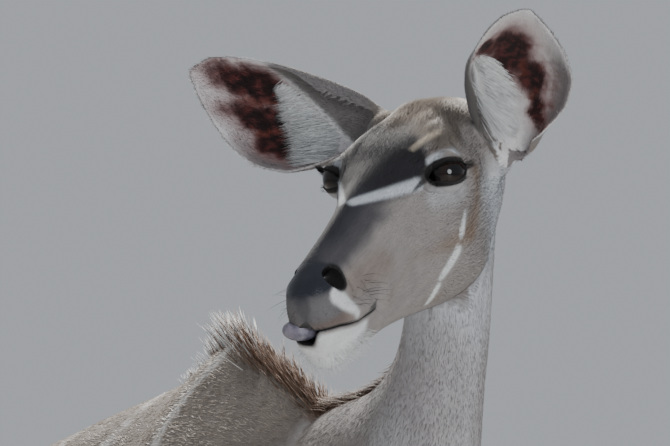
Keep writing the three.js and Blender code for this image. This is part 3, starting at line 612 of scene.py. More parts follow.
def earShell(ear):
    rings, around = 64, 96
    def point(ring, turn):
        outside = turn <= np.pi + 1e-6
        sweep = np.where(outside, 1 - 2 * turn / np.pi, 2 * turn / np.pi - 3)
        return ear.wall(ring / (rings - 1), sweep, outside, (ring == 0) & ~outside)
    def middle(ring):
        share = 0 if ring == 0 else 1
        return ear.spot(share, 0, -smooth(earRows, share)[0, 5] * (0.8 if ring else 0.3))[0]
    return wrapped(around, rings, point, middle)


def combine(ob, other, operation):
    change = ob.modifiers.new("combine", "BOOLEAN")
    change.operation, change.object, change.solver = operation, other, "EXACT"
    settled(ob)
    bpy.data.objects.remove(other)


def fused(ob, voxel, calm, kept):  # overlapping shells made one, smoothed and thinned
    whole = ob.modifiers.new("whole", "REMESH")
    whole.mode, whole.voxel_size = "VOXEL", voxel * mm
    even = ob.modifiers.new("even", "SMOOTH")
    even.factor, even.iterations = 0.5, calm
    ob.modifiers.new("thin", "DECIMATE").ratio = kept
    return settled(ob)


def coordinates(ob):
    co = np.empty(len(ob.data.vertices) * 3)
    ob.data.vertices.foreach_get("co", co)
    return co.reshape(-1, 3)


def eased(ob, weight, times):  # smooths an object's points by a weight for each, 0 to 1
    group = ob.vertex_groups.new(name="eased")
    for level in range(1, 9):
        which = np.nonzero(np.rint(weight * 8) == level)[0]
        group.add(which.tolist(), level / 8, "REPLACE")
    calm = ob.modifiers.new("calm", "SMOOTH")
    calm.factor, calm.iterations, calm.vertex_group = 0.5, times, "eased"
    settled(ob)
    ob.vertex_groups.clear()


# the body is fused from its lofts and thinned, since it has no small forms
shells = [
    lofted(torso["rows"], lambda a, s, u: pushed(inBody(a, s, u), torso["bumps"]), 150, 10, 5),
    lofted(neck["rows"], inNeck, 120, 0.08, 4),
    lofted(tail["rows"], inTail, 40, 0.1, 3),
]
shells += [lofted(leg["rows"], inLeg(leg), 48, 8, 2.2) for leg in legs.values()]
skin = joined("skin", shells)
fused(skin, skinLook["voxel"], 8, skinLook["kept"])
print("  body", len(skin.data.polygons))

# the head keeps its own fine rings, with the mouth, nostrils and sockets cut into it
headOb = joined("headShell", [lofted(head["rows"], inChewingHead, 216, 2.2, 1.2)])
wholeHead = BVHTree.FromPolygons(
    [v.co for v in headOb.data.vertices], [tuple(face.vertices) for face in headOb.data.polygons])
mouthRows = [[at, -1, 0, 1, 0, 60, 2, 2] for at in (281, 300, 320, 340, 360, 380, 400)]
cutters = [lofted(mouthRows, inMouth, 120, 2.5), nostrilCut(1), nostrilCut(-1)]
eyes = {"eye_left": Eye(1), "eye_right": Eye(-1)}
for eye in eyes.values():
    cutters.append(ball(eye.centre, eyeLook["radius"] + skinLook["socket"]))
    spread, drop = eyeLook["half"] + skinLook["opening"], eyeLook["deep"] + skinLook["opening"]
    lifted = eyeLook["high"] + skinLook["opening"]
    window = [[out, -drop, 0, lifted, eyeLook["middle"], spread, 2, 2] for out in (4, 20, 44)]
    cutters.append(lofted(window, lambda out, x, y: eye.at(x, y, out), 64, 4))
for bm in cutters:
    combine(headOb, joined("cutter", [bm]), "DIFFERENCE")
combine(skin, headOb, "UNION")
for ear in earShapes.values():
    leaf = joined("leaf", [earShell(ear), ball(inHead(ear.swell), 24, 72, 48)])
    combine(skin, fused(leaf, skinLook["earVoxel"], 3, skinLook["earKept"]), "UNION")
print("  whole", len(skin.data.polygons))
body = toBody(coordinates(skin))
near = np.zeros(len(body))
for ear in earShapes.values():
    away = np.linalg.norm(body - inHead(ear.swell), axis=1)
    near = np.maximum(near, ease((56 - away) / 24) * ease(1.5 - toEar(ear, body)[:, 0] / 42))
seam = np.abs((body - inHead([-8, 0, -60])) @ unit(0.62 * faceAxis + 0.78 * headUp))
near = np.maximum(near, ease((26 - seam) / 20) * (np.linalg.norm(body - inHead([-8, 0, -60]), axis=1) < 120))
eased(skin, near, 160)
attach(skin, "root")
fleshNodes = ["head", "neck", "torso", "tail", "ear_left", "ear_right"]
fleshNodes += [f"{leg}_{half}" for leg in legs for half in ("upper", "lower")]
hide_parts(*fleshNodes)


def fill(ob, name, kind, values, domain="POINT"):  # one value for each point, for the materials to read
    layer = ob.data.attributes.new(name, kind, domain)
    layer.data.foreach_set("vector" if kind == "FLOAT_VECTOR" else "value" if kind == "FLOAT" else "color",
                           np.asarray(values, np.float32).ravel())


print("3 regions of the skin")


def sampled(region, place, rows, around, gap):  # places of one loft, with how far along and round each is
    at = np.arange(min(rows[0][0], rows[-1][0]), max(rows[0][0], rows[-1][0]) + gap / 2, gap)
    turn = np.linspace(0, 2 * np.pi, around, endpoint=False)
    a, t = (grid.ravel() for grid in np.meshgrid(at, turn, indexing="ij"))
    return place(a, *sectionPoint(smooth(rows, a), t)), np.full(len(a), region), a, t


def sampledEar(region, ear, outside):
    share = np.linspace(0.02, 1, 110)
    sweep = np.linspace(-1, 1, 110)
    a, t = (grid.ravel() for grid in np.meshgrid(share, sweep, indexing="ij"))
    return ear.wall(a, t, np.full(len(a), outside)), np.full(len(a), region), a, t


regions = ["torso", "neck", "head", "tail", *legs, "ear_left", "ear_left_cup", "ear_right", "ear_right_cup"]
regionOf = {name: k for k, name in enumerate(regions)}
samples = [
    sampled(0, inBody, torso["rows"], 120, 14),
    sampled(1, inNeck, neck["rows"], 90, 0.08),
    sampled(2, inChewingHead, head["rows"], 120, 5),
    sampled(3, inTail, tail["rows"], 30, 0.1),
]
samples += [sampled(regionOf[name], inLeg(leg), leg["rows"], 36, 10) for name, leg in legs.items()]
for name, ear in earShapes.items():
    samples += [sampledEar(regionOf[name], ear, True), sampledEar(regionOf[name + "_cup"], ear, False)]
samplePlace, sampleRegion, sampleAlong, sampleTurn = (np.concatenate(part) for part in zip(*samples))
sampleTree = KDTree(len(samplePlace))
for k, place in enumerate(samplePlace):
    sampleTree.insert(place, k)
sampleTree.balance()


def nearest(points):
    return np.array([sampleTree.find(place)[1] for place in points])


body = toBody(coordinates(skin))
found = nearest(body)
region, along, turn = sampleRegion[found], sampleAlong[found], sampleTurn[found]


def lieOf(points, normals, region, along, turn):  # the way the hair points on each region, along the skin
    h = toHead(points)
    way = np.tile([-1.0, 0, -0.12], (len(points), 1))  # torso: back and a little down
    low = ease((1000 - points[:, 2]) / 250)[:, None]
    way = mix(way, np.array([-0.55, 0, -0.8]), low * ease((points[:, 0] + 60) / 120)[:, None])
    way = mix(way, np.array([-0.5, 0, -0.85]), ease((-640 - points[:, 0]) / 100)[:, None])
    on = region == regionOf["neck"]
    way[on] = -neckLine.way(along[on]) + [0, 0, -0.15]
    on = region == regionOf["head"]
    back = -faceAxis + 0.16 * headUp * ease((h[on, 2] + 90) / 90)[:, None]
    throat = ease((-h[on, 2] - 95) / 60)[:, None]
    way[on] = mix(back, -faceAxis - 0.25 * headUp, throat)
    on = region == regionOf["tail"]
    way[on] = tailLine.way(along[on])
    for name in legs:
        way[region == regionOf[name]] = [-0.12, 0, -1]
    for name, ear in earShapes.items():
        for tag in (name, name + "_cup"):
            on = region == regionOf[tag]
            inward = -np.sign(turn[on])[:, None] * ease((np.abs(turn[on]) - 0.5) / 0.5)[:, None]
            way[on] = ear.length + 0.5 * inward * ear.rear * (1 if tag.endswith("cup") else -0.5)
    return square(way, unit(normals))


# the coat's colours: her markings, with a few painted highlights and painted shade among them
print("4 markings")


def colour(*srgb):  # a colour as it is seen, turned into the light it sends back
    c = np.array(srgb) / 255
    return np.where(c <= 0.04045, c / 12.92, ((c + 0.055) / 1.055) ** 2.4)


tone = {
    "fawn": colour(130, 120, 111),
    "flank": colour(146, 134, 123),
    "belly": colour(170, 162, 154),
    "forehead": colour(38, 36, 40),
    "bridge": colour(58, 57, 64),
    "cheek": colour(150, 143, 140),
    "cheekTan": colour(132, 112, 96),
    "pale": colour(200, 204, 210),
    "white": colour(232, 233, 233),
    "brown": colour(110, 82, 64),
    "mane": colour(124, 100, 84),
    "dark": colour(34, 30, 30),
    "padHighlight": colour(120, 130, 150),
    "nose": colour(38, 40, 48),
    "lip": colour(60, 62, 70),
    "earBack": colour(128, 123, 122),
    "earRim": colour(222, 218, 219),
    "earPink": colour(160, 112, 106),
    "earRed": colour(78, 18, 15),
    "earDeep": colour(20, 5, 7),
    "earRidge": colour(104, 44, 28),
    "earRearRim": colour(104, 94, 94),
    "leg": colour(160, 132, 106),
    "legInside": colour(200, 192, 182),
    "pastern": colour(70, 58, 50),
    "crown": colour(118, 108, 99),
    "sunlitRidge": colour(206, 192, 170),
    "neck": colour(166, 162, 162),
    "throat": colour(204, 206, 212),
}


def blob(points, at, reach, soft=1.0):  # 1 at the middle and 0 outside, alike on both sides of her
    best = np.zeros(len(points))
    for side in ((1,) if at[1] == 0 else (1, -1)):
        away = np.linalg.norm((points - np.array([at[0], side * at[1], at[2]])) / reach, axis=1)
        best = np.maximum(best, 1 - ease((away - 1 + soft / 2) / soft))
    return best


def stroke(points, start, end, half, soft=0.5):  # a soft bar between two places, alike on both sides
    best = np.zeros(len(points))
    for side in (1, -1):
        a = np.array(start) * [1, side, 1]
        b = np.array(end) * [1, side, 1]
        share = np.clip(((points - a) @ (b - a)) / ((b - a) @ (b - a)), 0, 1)
        away = np.linalg.norm(points - a - share[:, None] * (b - a), axis=1)
        wide = mix(half[0], half[1], share)
        best = np.maximum(best, 1 - ease((away / wide - 1 + soft / 2) / soft))
    return best


def wavy(points, scale, seed):  # a slow repeatable wander, about -1 to 1
    p = points / scale
    out = np.zeros(len(points))
    for k in range(1, 5):
        turned = p @ np.array([[0.8, 0.6, 0.1 * k], [-0.6, 0.7, 0.3], [0.1, -0.4, 0.9]]) * 1.37 ** k
        out += np.sin(turned[:, 0] + seed * k) * np.sin(turned[:, 1] + 2.1 * k) * np.cos(turned[:, 2] + seed)
    return out / 1.6


def laid(base, tint, share):
    return base + (tint - base) * np.clip(share, 0, 1)[:, None]


stripes = [(-4, 26), (-130, 42), (-236, 60), (-330, 78), (-428, 84), (-520, 70), (-606, 46), (-684, 30)]


def painted(points, region, along, turn):
    h = toHead(points)
    z, wander = points[:, 2], wavy(points, 60, 1.3)
    c = np.tile(tone["fawn"], (len(points), 1))
    c = laid(c, tone["flank"], ease((1080 - z + 25 * wander) / 160))
    c = laid(c, tone["belly"], ease((730 - z) / 70) * (region == 0))
    spine = ease((np.abs(points[:, 1]) - 4) / 12)
    c = laid(c, tone["mane"], (1 - spine) * ease((points[:, 0] - 1100 + z) / 60) * (region == 0) * 0.4)
    for x, lean in stripes:
        bend = x + lean * (1150 - z) / 400 * -0.4 + 6 * wavy(points, 90, x * 0.01)
        reach = ease((z - 800 - 30 * np.sin(x)) / 90) * (region == 0)
        c = laid(c, tone["white"], 0.62 * (1 - ease((np.abs(points[:, 0] - bend) - 3.2) / 4.5)) * reach)
    on = region == regionOf["neck"]
    if on.any():
        n = laid(np.tile(tone["fawn"], (on.sum(), 1)), tone["neck"], ease((z[on] - 1060) / 120))
        nape = np.cos(turn[on])
        n = laid(n, tone["mane"], ease((nape - 0.93) / 0.06))
        n = laid(n, tone["throat"], ease((-nape + 0.25) / 0.7) * 0.75)
        n = laid(n, tone["brown"], 0.35 * blob(points[on], [452, -33, 1160], [70, 40, 70]))
        c[on] = n
    on = region == regionOf["head"]
    if on.any():
        c[on] = paintedHead(h[on])
    on = region == regionOf["tail"]
    if on.any():
        n = np.tile(tone["mane"], (on.sum(), 1))
        n = laid(n, tone["white"], ease((-np.cos(turn[on]) - 0.1) / 0.5))
        c[on] = laid(n, tone["dark"], ease((along[on] - 3.6) / 0.8))
    for name, leg in legs.items():
        on = region == regionOf[name]
        if on.any():
            inside = ease(-(points[on, 1] * leg["side"] - 92) / 26)
            n = laid(np.tile(tone["flank"], (on.sum(), 1)), tone["leg"], ease((620 - z[on]) / 160))
            n = laid(n, tone["legInside"], inside * ease((z[on] - 420) / 80))
            n = laid(n, tone["pastern"], ease((150 - z[on]) / 50) * 0.75)
            c[on] = n
    for name in ears:
        on = region == regionOf[name]
        if on.any():
            n = np.tile(tone["earBack"], (on.sum(), 1))
            n = laid(n, tone["fawn"], ease((0.16 - along[on]) / 0.14))
            nearTip = np.where(turn[on] < 0, ease((along[on] - 0.6) / 0.1), 1)
            rim = ease((np.abs(turn[on]) - 0.95) / 0.05) * nearTip
            c[on] = laid(n, tone["earRim"], rim)
        on = region == regionOf[name + "_cup"]
        if on.any():
            c[on] = paintedCup(name, points[on], along[on], turn[on])
    return c * (1 + 0.05 * wavy(points, 14, 4.2))[:, None]


def paintedCup(name, points, share, sweep):
    e, cup = toEar(earShapes[name], points), cups[name]
    fine = 1.8 * wavy(points, 3.4, 9.1)
    alongEar = e[:, 0] + 4 * wavy(points, 11, 2.2) + fine
    acrossEar = e[:, 1] + 3.5 * wavy(points, 13, 5.1) - fine
    flat = np.stack([alongEar, acrossEar], 1)
    n = np.tile(tone["earRim"], (len(points), 1))
    # a darker grey along the cup's rear rim, away from the tip
    lowRim = ease((sweep - 0.4 + 0.12 * wavy(points, 6, 1.1)) / 0.35)
    n = laid(n, tone["earRearRim"], 0.85 * lowRim * ease((0.8 - share) / 0.25))
    lobe = lambda grown, soft: np.max([oneBlob(flat, (a, r), (la * grown, lr * grown), soft)
                                       for a, r, la, lr in cup["lobes"]], axis=0)
    n = laid(n, tone["earPink"], 0.75 * lobe(1.3, 1.2))
    red = lobe(1.05, 0.7)
    n = laid(n, tone["earRed"], 0.94 * red)
    n = laid(n, tone["earDeep"], 0.95 * lobe(0.84, 0.9) * ease((wavy(points, 5, 3.3) + 0.7) / 0.8))
    for start, end in cup["ridges"]:
        n = laid(n, tone["earRidge"], 0.6 * oneStroke(flat, start, end, 2.4))
    edge = np.interp(e[:, 0], *np.array(cup["margin"], float).T)
    n = laid(n, tone["earBack"], ease((edge - e[:, 1] + 1) / 3))
    return laid(n, tone["white"], 0.8 * np.exp(-((e[:, 1] - edge) / 2.2) ** 2) * ease((130 - e[:, 0]) / 30))


def oneBlob(flat, at, reach, soft):
    away = np.hypot((flat[:, 0] - at[0]) / reach[0], (flat[:, 1] - at[1]) / reach[1])
    return 1 - ease((away - 1 + soft / 2) / soft)


def oneStroke(flat, start, end, half):
    a, b = np.array(start, float), np.array(end, float)
    share = np.clip(((flat[:, :2] - a) @ (b - a)) / ((b - a) @ (b - a)), 0, 1)
    away = np.linalg.norm(flat[:, :2] - a - share[:, None] * (b - a), axis=1)
    return 1 - ease((away / half - 0.5) / 1.0)


def paintedHead(h):
    wander = wavy(h, 30, 0.7)
    low, high = mouthEdges(h[:, 0], h[:, 1])
    c = np.tile(tone["cheek"], (len(h), 1))
    tan = tone["cheekTan"]
    for start, end, half, share in (
        ([98, 62, -52], [100, 60, -76], (9, 8), 0.75),  # from the rear corner of the eye down the cheek
        ([100, 60, -76], [136, 58, -94], (8, 9), 0.7),
        ([136, 58, -94], [208, 42, -86], (9, 7), 0.6),
        ([208, 42, -80], [262, 32, -98], (6, 9), 0.5),
        ([330, 28, -42], [262, 32, -56], (12, 14), 0.45),
        ([176, 32, -146], [238, 28, -128], (9, 6), 0.6),
        ([176, 44, -18], [196, 36, -20], (5, 4), 0.5),
        ([118, 45, -8], [160, 44, -10], (3.5, 3.5), 0.5),
    ):
        c = laid(c, tan, share * stroke(h, start, end, half, 1.3))
    c = laid(c, tone["pale"], ease((118 - h[:, 0]) / 60) * ease((-48 - h[:, 2]) / 40) * 0.85)
    top = ease((h[:, 2] + 31 - 10 * ease((h[:, 0] - 180) / 60) + 4 * wander) / 15)
    c = laid(c, tone["crown"], top * ease((150 - h[:, 0]) / 30))
    # the dark forehead is partly her own darker hair and partly painted shade, covering more of her right
    # side
    slant = np.where(h[:, 1] > 0, 1.5 * np.maximum(0, h[:, 1] - 8), -1.0 * np.clip(-h[:, 1] - 12, 0, 44))
    c = laid(c, tone["forehead"], top * ease((h[:, 0] - 94 - slant + 9 * wander) / 22))
    c = laid(c, tone["bridge"], 0.85 * ease((h[:, 0] - 205) / 40) * ease((h[:, 2] + 38 + 4 * wander) / 16))
    # painted highlight: pale streaks on the wrinkles over her left brow only, where light catches the ridges
    for start, end in (([107, 41, -3], [148, 29, 1]), ([92, 34, 2], [120, 24, 5])):
        c = laid(c, tone["sunlitRidge"], 0.6 * stroke(h, start, end, (3, 4), 1.0) * (h[:, 1] > 0))
    c = laid(c, tone["pale"], stroke(h, [179, 42, -21], [248, 5, -1], (6.5, 4.2), 0.8))
    c = laid(c, tone["forehead"], 0.5 * stroke(h, [256, 0, 0], [300, 0, -2], (8, 10), 1.0))
    brow = stroke(h, [154, 47, -11], [112, 58, -24], (5, 6), 0.9)
    c = laid(c, tone["pale"], mix(0.5, 0.95, h[:, 1] > 0) * brow)
    c = laid(c, tone["pale"], 0.45 * stroke(h, [170, 50, -40], [136, 66, -50], (9, 12), 1.6))
    for start, end, half in (
        ([135, 59, -75], [149, 55, -89], 3.4),
        ([157, 52, -101], [177, 40, -119], 4.6),
        ([180, 36, -126], [188, 25, -139], 4.4),
    ):
        c = laid(c, tone["white"], 0.95 * stroke(h, start, end, (half * 0.9, half), 0.6))
    c = laid(c, tone["brown"], 0.55 * blob(h, [112, 26, -168], [26, 22, 12], 1.2))
    c = laid(c, tone["lip"], 0.6 * ease((h[:, 0] - 352) / 14) * ease((h[:, 2] - high) / 4))
    lipFront = ease((h[:, 0] - 344 + 7 * wander) / 12) * ease((-50 - h[:, 2]) / 8)
    c = laid(c, tone["brown"], 0.45 * lipFront * ease((h[:, 2] - high + 1) / 3))
    lipStripe = stroke(h, [360, 24, -38], [342, 26, -65], (8.5, 6), 0.6)
    c = laid(c, tone["white"], 0.95 * lipStripe * ease((h[:, 2] - high) / 3))
    c = laid(c, tone["white"], ease((h[:, 0] - 300 + 5 * wander) / 18) * ease((low - 2 - h[:, 2]) / 5))
    c = laid(c, tone["nose"], noseMask(h))
    # painted highlight: a pale bluish stroke along the top of the nose pad
    c = laid(c, tone["padHighlight"], 0.5 * stroke(h, [368, 6, -10], [354, 21, -13], (3, 2.5), 1.0))
    # painted shade: the inside of each nostril and a rim round it are darkened
    c = laid(c, tone["dark"] * 0.4, stroke(h, [341, 6, -29], [346, 21, -28], (13, 13), 0.25))
    c = laid(c, tone["dark"], lipMask(h))
    return laid(c, tone["dark"], eyeRim(h))


def noseMask(h):  # the bare pad between and round the nostrils, and the strip down to the lip
    pad = blob(h, [360, 0, -21], [24, 27, 15], 0.25) * ease((h[:, 0] - 334 - 0.3 * (h[:, 2] + 24)) / 5)
    return np.maximum(pad, 0.5 * blob(h, [378, 0, -40], [12, 8, 14], 0.5))


def lipMask(h):  # the dark edge of the lips along the mouth's line, widest at its corner
    low, high = mouthEdges(h[:, 0], h[:, 1])
    away = np.maximum(h[:, 2] - high, low - h[:, 2])
    line = (1 - ease((away - 0.4) / 2.2)) * ease((h[:, 0] - 279) / 6)
    return np.maximum(line, 0.9 * stroke(h, [285, 24, -86], [304, 27, -83], (5, 3.5), 0.8))


def eyeRim(h):  # dark bare skin round the eye, drawn out to a wet corner in front
    best = 0.9 * stroke(h, [170, 44, -22], [189, 38, -24], (3.6, 1.4), 0.6)
    for eye in eyes.values():
        x, y, out = eye.inside(inHead(h)).T
        edge = np.hypot((x - eyeLook["middle"]) / (eyeLook["half"] + 4), y / (eyeLook["high"] + 4))
        best = np.maximum(best, (1 - ease((edge - 0.95) / 0.2)) * (out > 0))
    return best


def bareOf(points, region):  # 1 where no hair grows and the skin is wet
    h = toHead(points)
    bare = np.maximum(noseMask(h), 0.7 * lipMask(h))
    return np.maximum(bare, 0.6 * eyeRim(h)) * (region == regionOf["head"])


def normalsOf(ob):
    out = np.empty(len(ob.data.vertices) * 3)
    ob.data.vertices.foreach_get("normal", out)
    return out.reshape(-1, 3)


skinNormals = normalsOf(skin)


def streakPlace(points, region, along, turn):  # the place itself, drawn out along the lie of the hair
    out = points.copy()
    out[:, 0] *= 0.12
    on = region == regionOf["neck"]
    out[on] = points[on] * [1, 1, 0.12]
    on = region == regionOf["head"]
    out[on] = toHead(points[on]) * [0.12, 1, 1]
    for name in [*legs, "tail"]:
        out[region == regionOf[name]] = points[region == regionOf[name]] * [1, 1, 0.12]
    for name, ear in earShapes.items():
        on = (region == regionOf[name]) | (region == regionOf[name + "_cup"])
        out[on] = toEar(ear, points[on]) * [0.12, 1, 1]
    return out * mm


fill(skin, "streak", "FLOAT_VECTOR", streakPlace(body, region, along, turn))
bare = bareOf(body, region)
fill(skin, "bare", "FLOAT", bare)
skinColour = painted(body, region, along, turn)
# the painted colour: her markings, with painted highlights and painted shade in places
fill(skin, "markingAndPaintedLight", "FLOAT_COLOR", np.hstack([skinColour, np.ones((len(body), 1))]))

print("5 materials")


def material(name):
    m = bpy.data.materials.new(name)
    m.use_nodes = True
    return m, m.node_tree, m.node_tree.nodes["Principled BSDF"]


def node(tree, kind, **values):
    n = tree.nodes.new(kind)
    for key, value in values.items():
        if hasattr(n, key):
            setattr(n, key, value)
        else:
            n.inputs[key.replace("_", " ")].default_value = value
    return n


def readings(tree, name):
    n = tree.nodes.new("ShaderNodeAttribute")
    n.attribute_name = name
    return n


def group(name, inputs, outputs):  # an effect that several materials share
    g = bpy.data.node_groups.new(name, "ShaderNodeTree")
    for label, kind, value in inputs:
        socket = g.interface.new_socket(name=label, in_out="INPUT", socket_type=kind)
        if value is not None:
            socket.default_value = value
    for label, kind in outputs:
        g.interface.new_socket(name=label, in_out="OUTPUT", socket_type=kind)
    return g, g.nodes.new("NodeGroupInput"), g.nodes.new("NodeGroupOutput")


def placed(tree, g):
    n = tree.nodes.new("ShaderNodeGroup")
    n.node_tree = g
    return n


hairStreaks, into, out = group(
    "hairStreaks",
    [
        ("Place", "NodeSocketVector", None),
        ("Fineness", "NodeSocketFloat", 700.0),
        ("Tint", "NodeSocketColor", None),
        ("Depth", "NodeSocketFloat", 0.25),
    ],
    [("Color", "NodeSocketColor"), ("Height", "NodeSocketFloat")],
)
link = hairStreaks.links.new
strands = node(hairStreaks, "ShaderNodeTexNoise", Detail=3.0, Roughness=0.6)
clumps = node(hairStreaks, "ShaderNodeTexNoise", Scale=160.0, Detail=2.0)
both = node(hairStreaks, "ShaderNodeMath", operation="MULTIPLY_ADD")
both.inputs[1].default_value = 0.6
shade = node(hairStreaks, "ShaderNodeMapRange")
shade.inputs["From Min"].default_value, shade.inputs["From Max"].default_value = 0.35, 1.15
darker = node(hairStreaks, "ShaderNodeMath", operation="SUBTRACT")
darker.inputs[0].default_value = 1.0
value = node(hairStreaks, "ShaderNodeMix", data_type="FLOAT")
tint = node(hairStreaks, "ShaderNodeVectorMath", operation="SCALE")
link(into.outputs["Place"], strands.inputs["Vector"])
link(into.outputs["Fineness"], strands.inputs["Scale"])
link(into.outputs["Place"], clumps.inputs["Vector"])
link(clumps.outputs["Fac"], both.inputs[0])
link(strands.outputs["Fac"], both.inputs[2])
link(both.outputs[0], shade.inputs["Value"])
link(into.outputs["Depth"], darker.inputs[1])
link(shade.outputs[0], value.inputs["Factor"])
link(darker.outputs[0], value.inputs["A"])
value.inputs["B"].default_value = 1.12
link(into.outputs["Tint"], tint.inputs[0])
link(value.outputs[0], tint.inputs["Scale"])
link(tint.outputs[0], out.inputs["Color"])
link(both.outputs[0], out.inputs["Height"])

hide, tree, bsdf = material("shortCoat")
link = tree.links.new
markingAndPaintedLight, streak, bareSkin = (readings(tree, name) for name in ("markingAndPaintedLight", "streak", "bare"))
hair = placed(tree, hairStreaks)
pebbles = node(tree, "ShaderNodeTexNoise", Scale=520.0, Detail=2.0)
low = node(tree, "ShaderNodeMath", operation="MULTIPLY")
low.inputs[1].default_value = 0.35
where = node(tree, "ShaderNodeTexCoord")
height = node(tree, "ShaderNodeMix", data_type="FLOAT")
bump = node(tree, "ShaderNodeBump", Strength=0.55, Distance=0.0016)
gloss = node(tree, "ShaderNodeMix", data_type="FLOAT")
gloss.inputs["A"].default_value, gloss.inputs["B"].default_value = 0.82, 0.24
link(where.outputs["Object"], pebbles.inputs["Vector"])
link(streak.outputs["Vector"], hair.inputs["Place"])
link(markingAndPaintedLight.outputs["Color"], hair.inputs["Tint"])
link(hair.outputs["Color"], bsdf.inputs["Base Color"])
link(bareSkin.outputs["Fac"], height.inputs["Factor"])
link(hair.outputs["Height"], height.inputs["A"])
link(pebbles.outputs["Fac"], low.inputs[0])
link(low.outputs[0], height.inputs["B"])
link(height.outputs[0], bump.inputs["Height"])
link(bump.outputs[0], bsdf.inputs["Normal"])
link(bareSkin.outputs["Fac"], gloss.inputs["Factor"])
link(gloss.outputs[0], bsdf.inputs["Roughness"])
bsdf.inputs["Sheen Weight"].default_value = 0.04
bsdf.inputs["Specular IOR Level"].default_value = 0.35
skin.data.materials.clear()
skin.data.materials.append(hide)

tuftHair, tree, bsdf = material("tufts")
link = tree.links.new
markingAndPaintedLight = readings(tree, "markingAndPaintedLight")
hair = placed(tree, hairStreaks)
hair.inputs["Fineness"].default_value = 900
hair.inputs["Depth"].default_value = 0.18
where = node(tree, "ShaderNodeTexCoord")
link(where.outputs["Object"], hair.inputs["Place"])
link(markingAndPaintedLight.outputs["Color"], hair.inputs["Tint"])
link(hair.outputs["Color"], bsdf.inputs["Base Color"])
bsdf.inputs["Roughness"].default_value = 0.62
bsdf.inputs["Sheen Weight"].default_value = 0.03
bsdf.inputs["Specular IOR Level"].default_value = 0.25

print("6 eyes and lids")

def gridObject(name, nx, ny, point, closed=True):  # a grid bent into a band, its ends merged
    bm = bmesh.new()
    bmesh.ops.create_grid(bm, x_segments=nx, y_segments=ny, size=1)
    co = np.array([v.co for v in bm.verts])
    for v, p in zip(bm.verts, toWorld(point((co[:, 0] + 1) / 2, (co[:, 1] + 1) / 2))):
        v.co = p
    if closed:
        bmesh.ops.remove_doubles(bm, verts=bm.verts, dist=2e-6)
    bmesh.ops.recalc_face_normals(bm, faces=bm.faces)
    return meshObject(name, bm)


skinTree = BVHTree.FromPolygons(
    [v.co for v in skin.data.vertices], [tuple(face.vertices) for face in skin.data.polygons])


def soft(a, b, reach):  # the higher of two heights, rounded where they cross
    return np.maximum(a, b) + reach * np.log1p(np.exp(-np.abs(a - b) / reach))


lidLook = {
    "steps": [0, 0.12, 0.22, 0.32, 0.44, 0.56, 0.7, 0.84, 1],
    "offset": [-4, -1.6, -0.2, 1.2, 3.0, 5.0, 8.0, 11.5, 16.5],  # from the edge of the opening
    "rise": [-3.2, -1.2, 0.7, 1.8, 2.1, 1.5, 1.3, 0.8, -1.6],
    "onSkin": [0, 0, 0, 0, 0.12, 0.35, 0.65, 0.9, 1],
    "sunk": 3.5,  # of the corners, below the cheek
}


def lidOn(eye):
    def point(u, v):
        turn = u * 2 * np.pi
        x, y = eye.opening(turn)
        ahead, behind = eye.opening(turn + 0.01), eye.opening(turn - 0.01)
        grow = unit(np.stack([ahead[1] - behind[1], behind[0] - ahead[0]], 1))
        heavy = np.where(np.sin(turn) > 0, 1.15, 0.9)
        off = np.interp(v, lidLook["steps"], lidLook["offset"]) * heavy
        x, y = x + grow[:, 0] * off, y + grow[:, 1] * off
        onBall = np.sqrt(np.maximum(0, (eyeLook["radius"] + 0.3) ** 2 - x * x - y * y))
        onHead = []
        for start in toWorld(eye.at(x, y, 70 + 0 * x)):
            hit = wholeHead.ray_cast(Vector(start), Vector(-eye.look), 0.1)
            onHead.append(70 - hit[3] / mm if hit[0] else -20)
        onHead = np.array(onHead)
        base = soft(onBall, onHead - lidLook["sunk"], 1.2)
        share = np.interp(v, lidLook["steps"], lidLook["onSkin"])
        crease = -1.1 * np.exp(-((v - 0.63) / 0.045) ** 2) * np.clip(np.sin(turn) * 1.4, 0.15, 1)
        crease -= 0.5 * np.exp(-((v - 0.76) / 0.04) ** 2) * np.clip(-np.sin(turn - 0.5), 0, 1)
        rise = np.interp(v, lidLook["steps"], lidLook["rise"]) * heavy
        level = mix(base, onHead, share) + rise + crease
        return eye.at(x, y, np.where((v > 0.3) & (onBall > 0), soft(level, onBall + 0.8, 0.6), level))

    return gridObject("lids_" + ("left" if eye.side > 0 else "right"), 150, 60, point)


def surfaceOf(ob, places, normals, region, along, turn, bald):  # what the coat needs to know to grow on it
    ob.data.calc_loop_triangles()
    corners = np.empty(len(ob.data.loop_triangles) * 3, int)
    ob.data.loop_triangles.foreach_get("vertices", corners)
    corners = corners.reshape(-1, 3)
    sideA = places[corners[:, 1]] - places[corners[:, 0]]
    sideB = places[corners[:, 2]] - places[corners[:, 0]]
    return {
        "at": places, "normal": normals, "way": lieOf(places, normals, region, along, turn),
        "region": region, "along": along, "turn": turn, "corners": corners,
        "share": np.linalg.norm(np.cross(sideA, sideB), axis=1) * (1 - bald[corners].mean(1)) ** 2,
    }


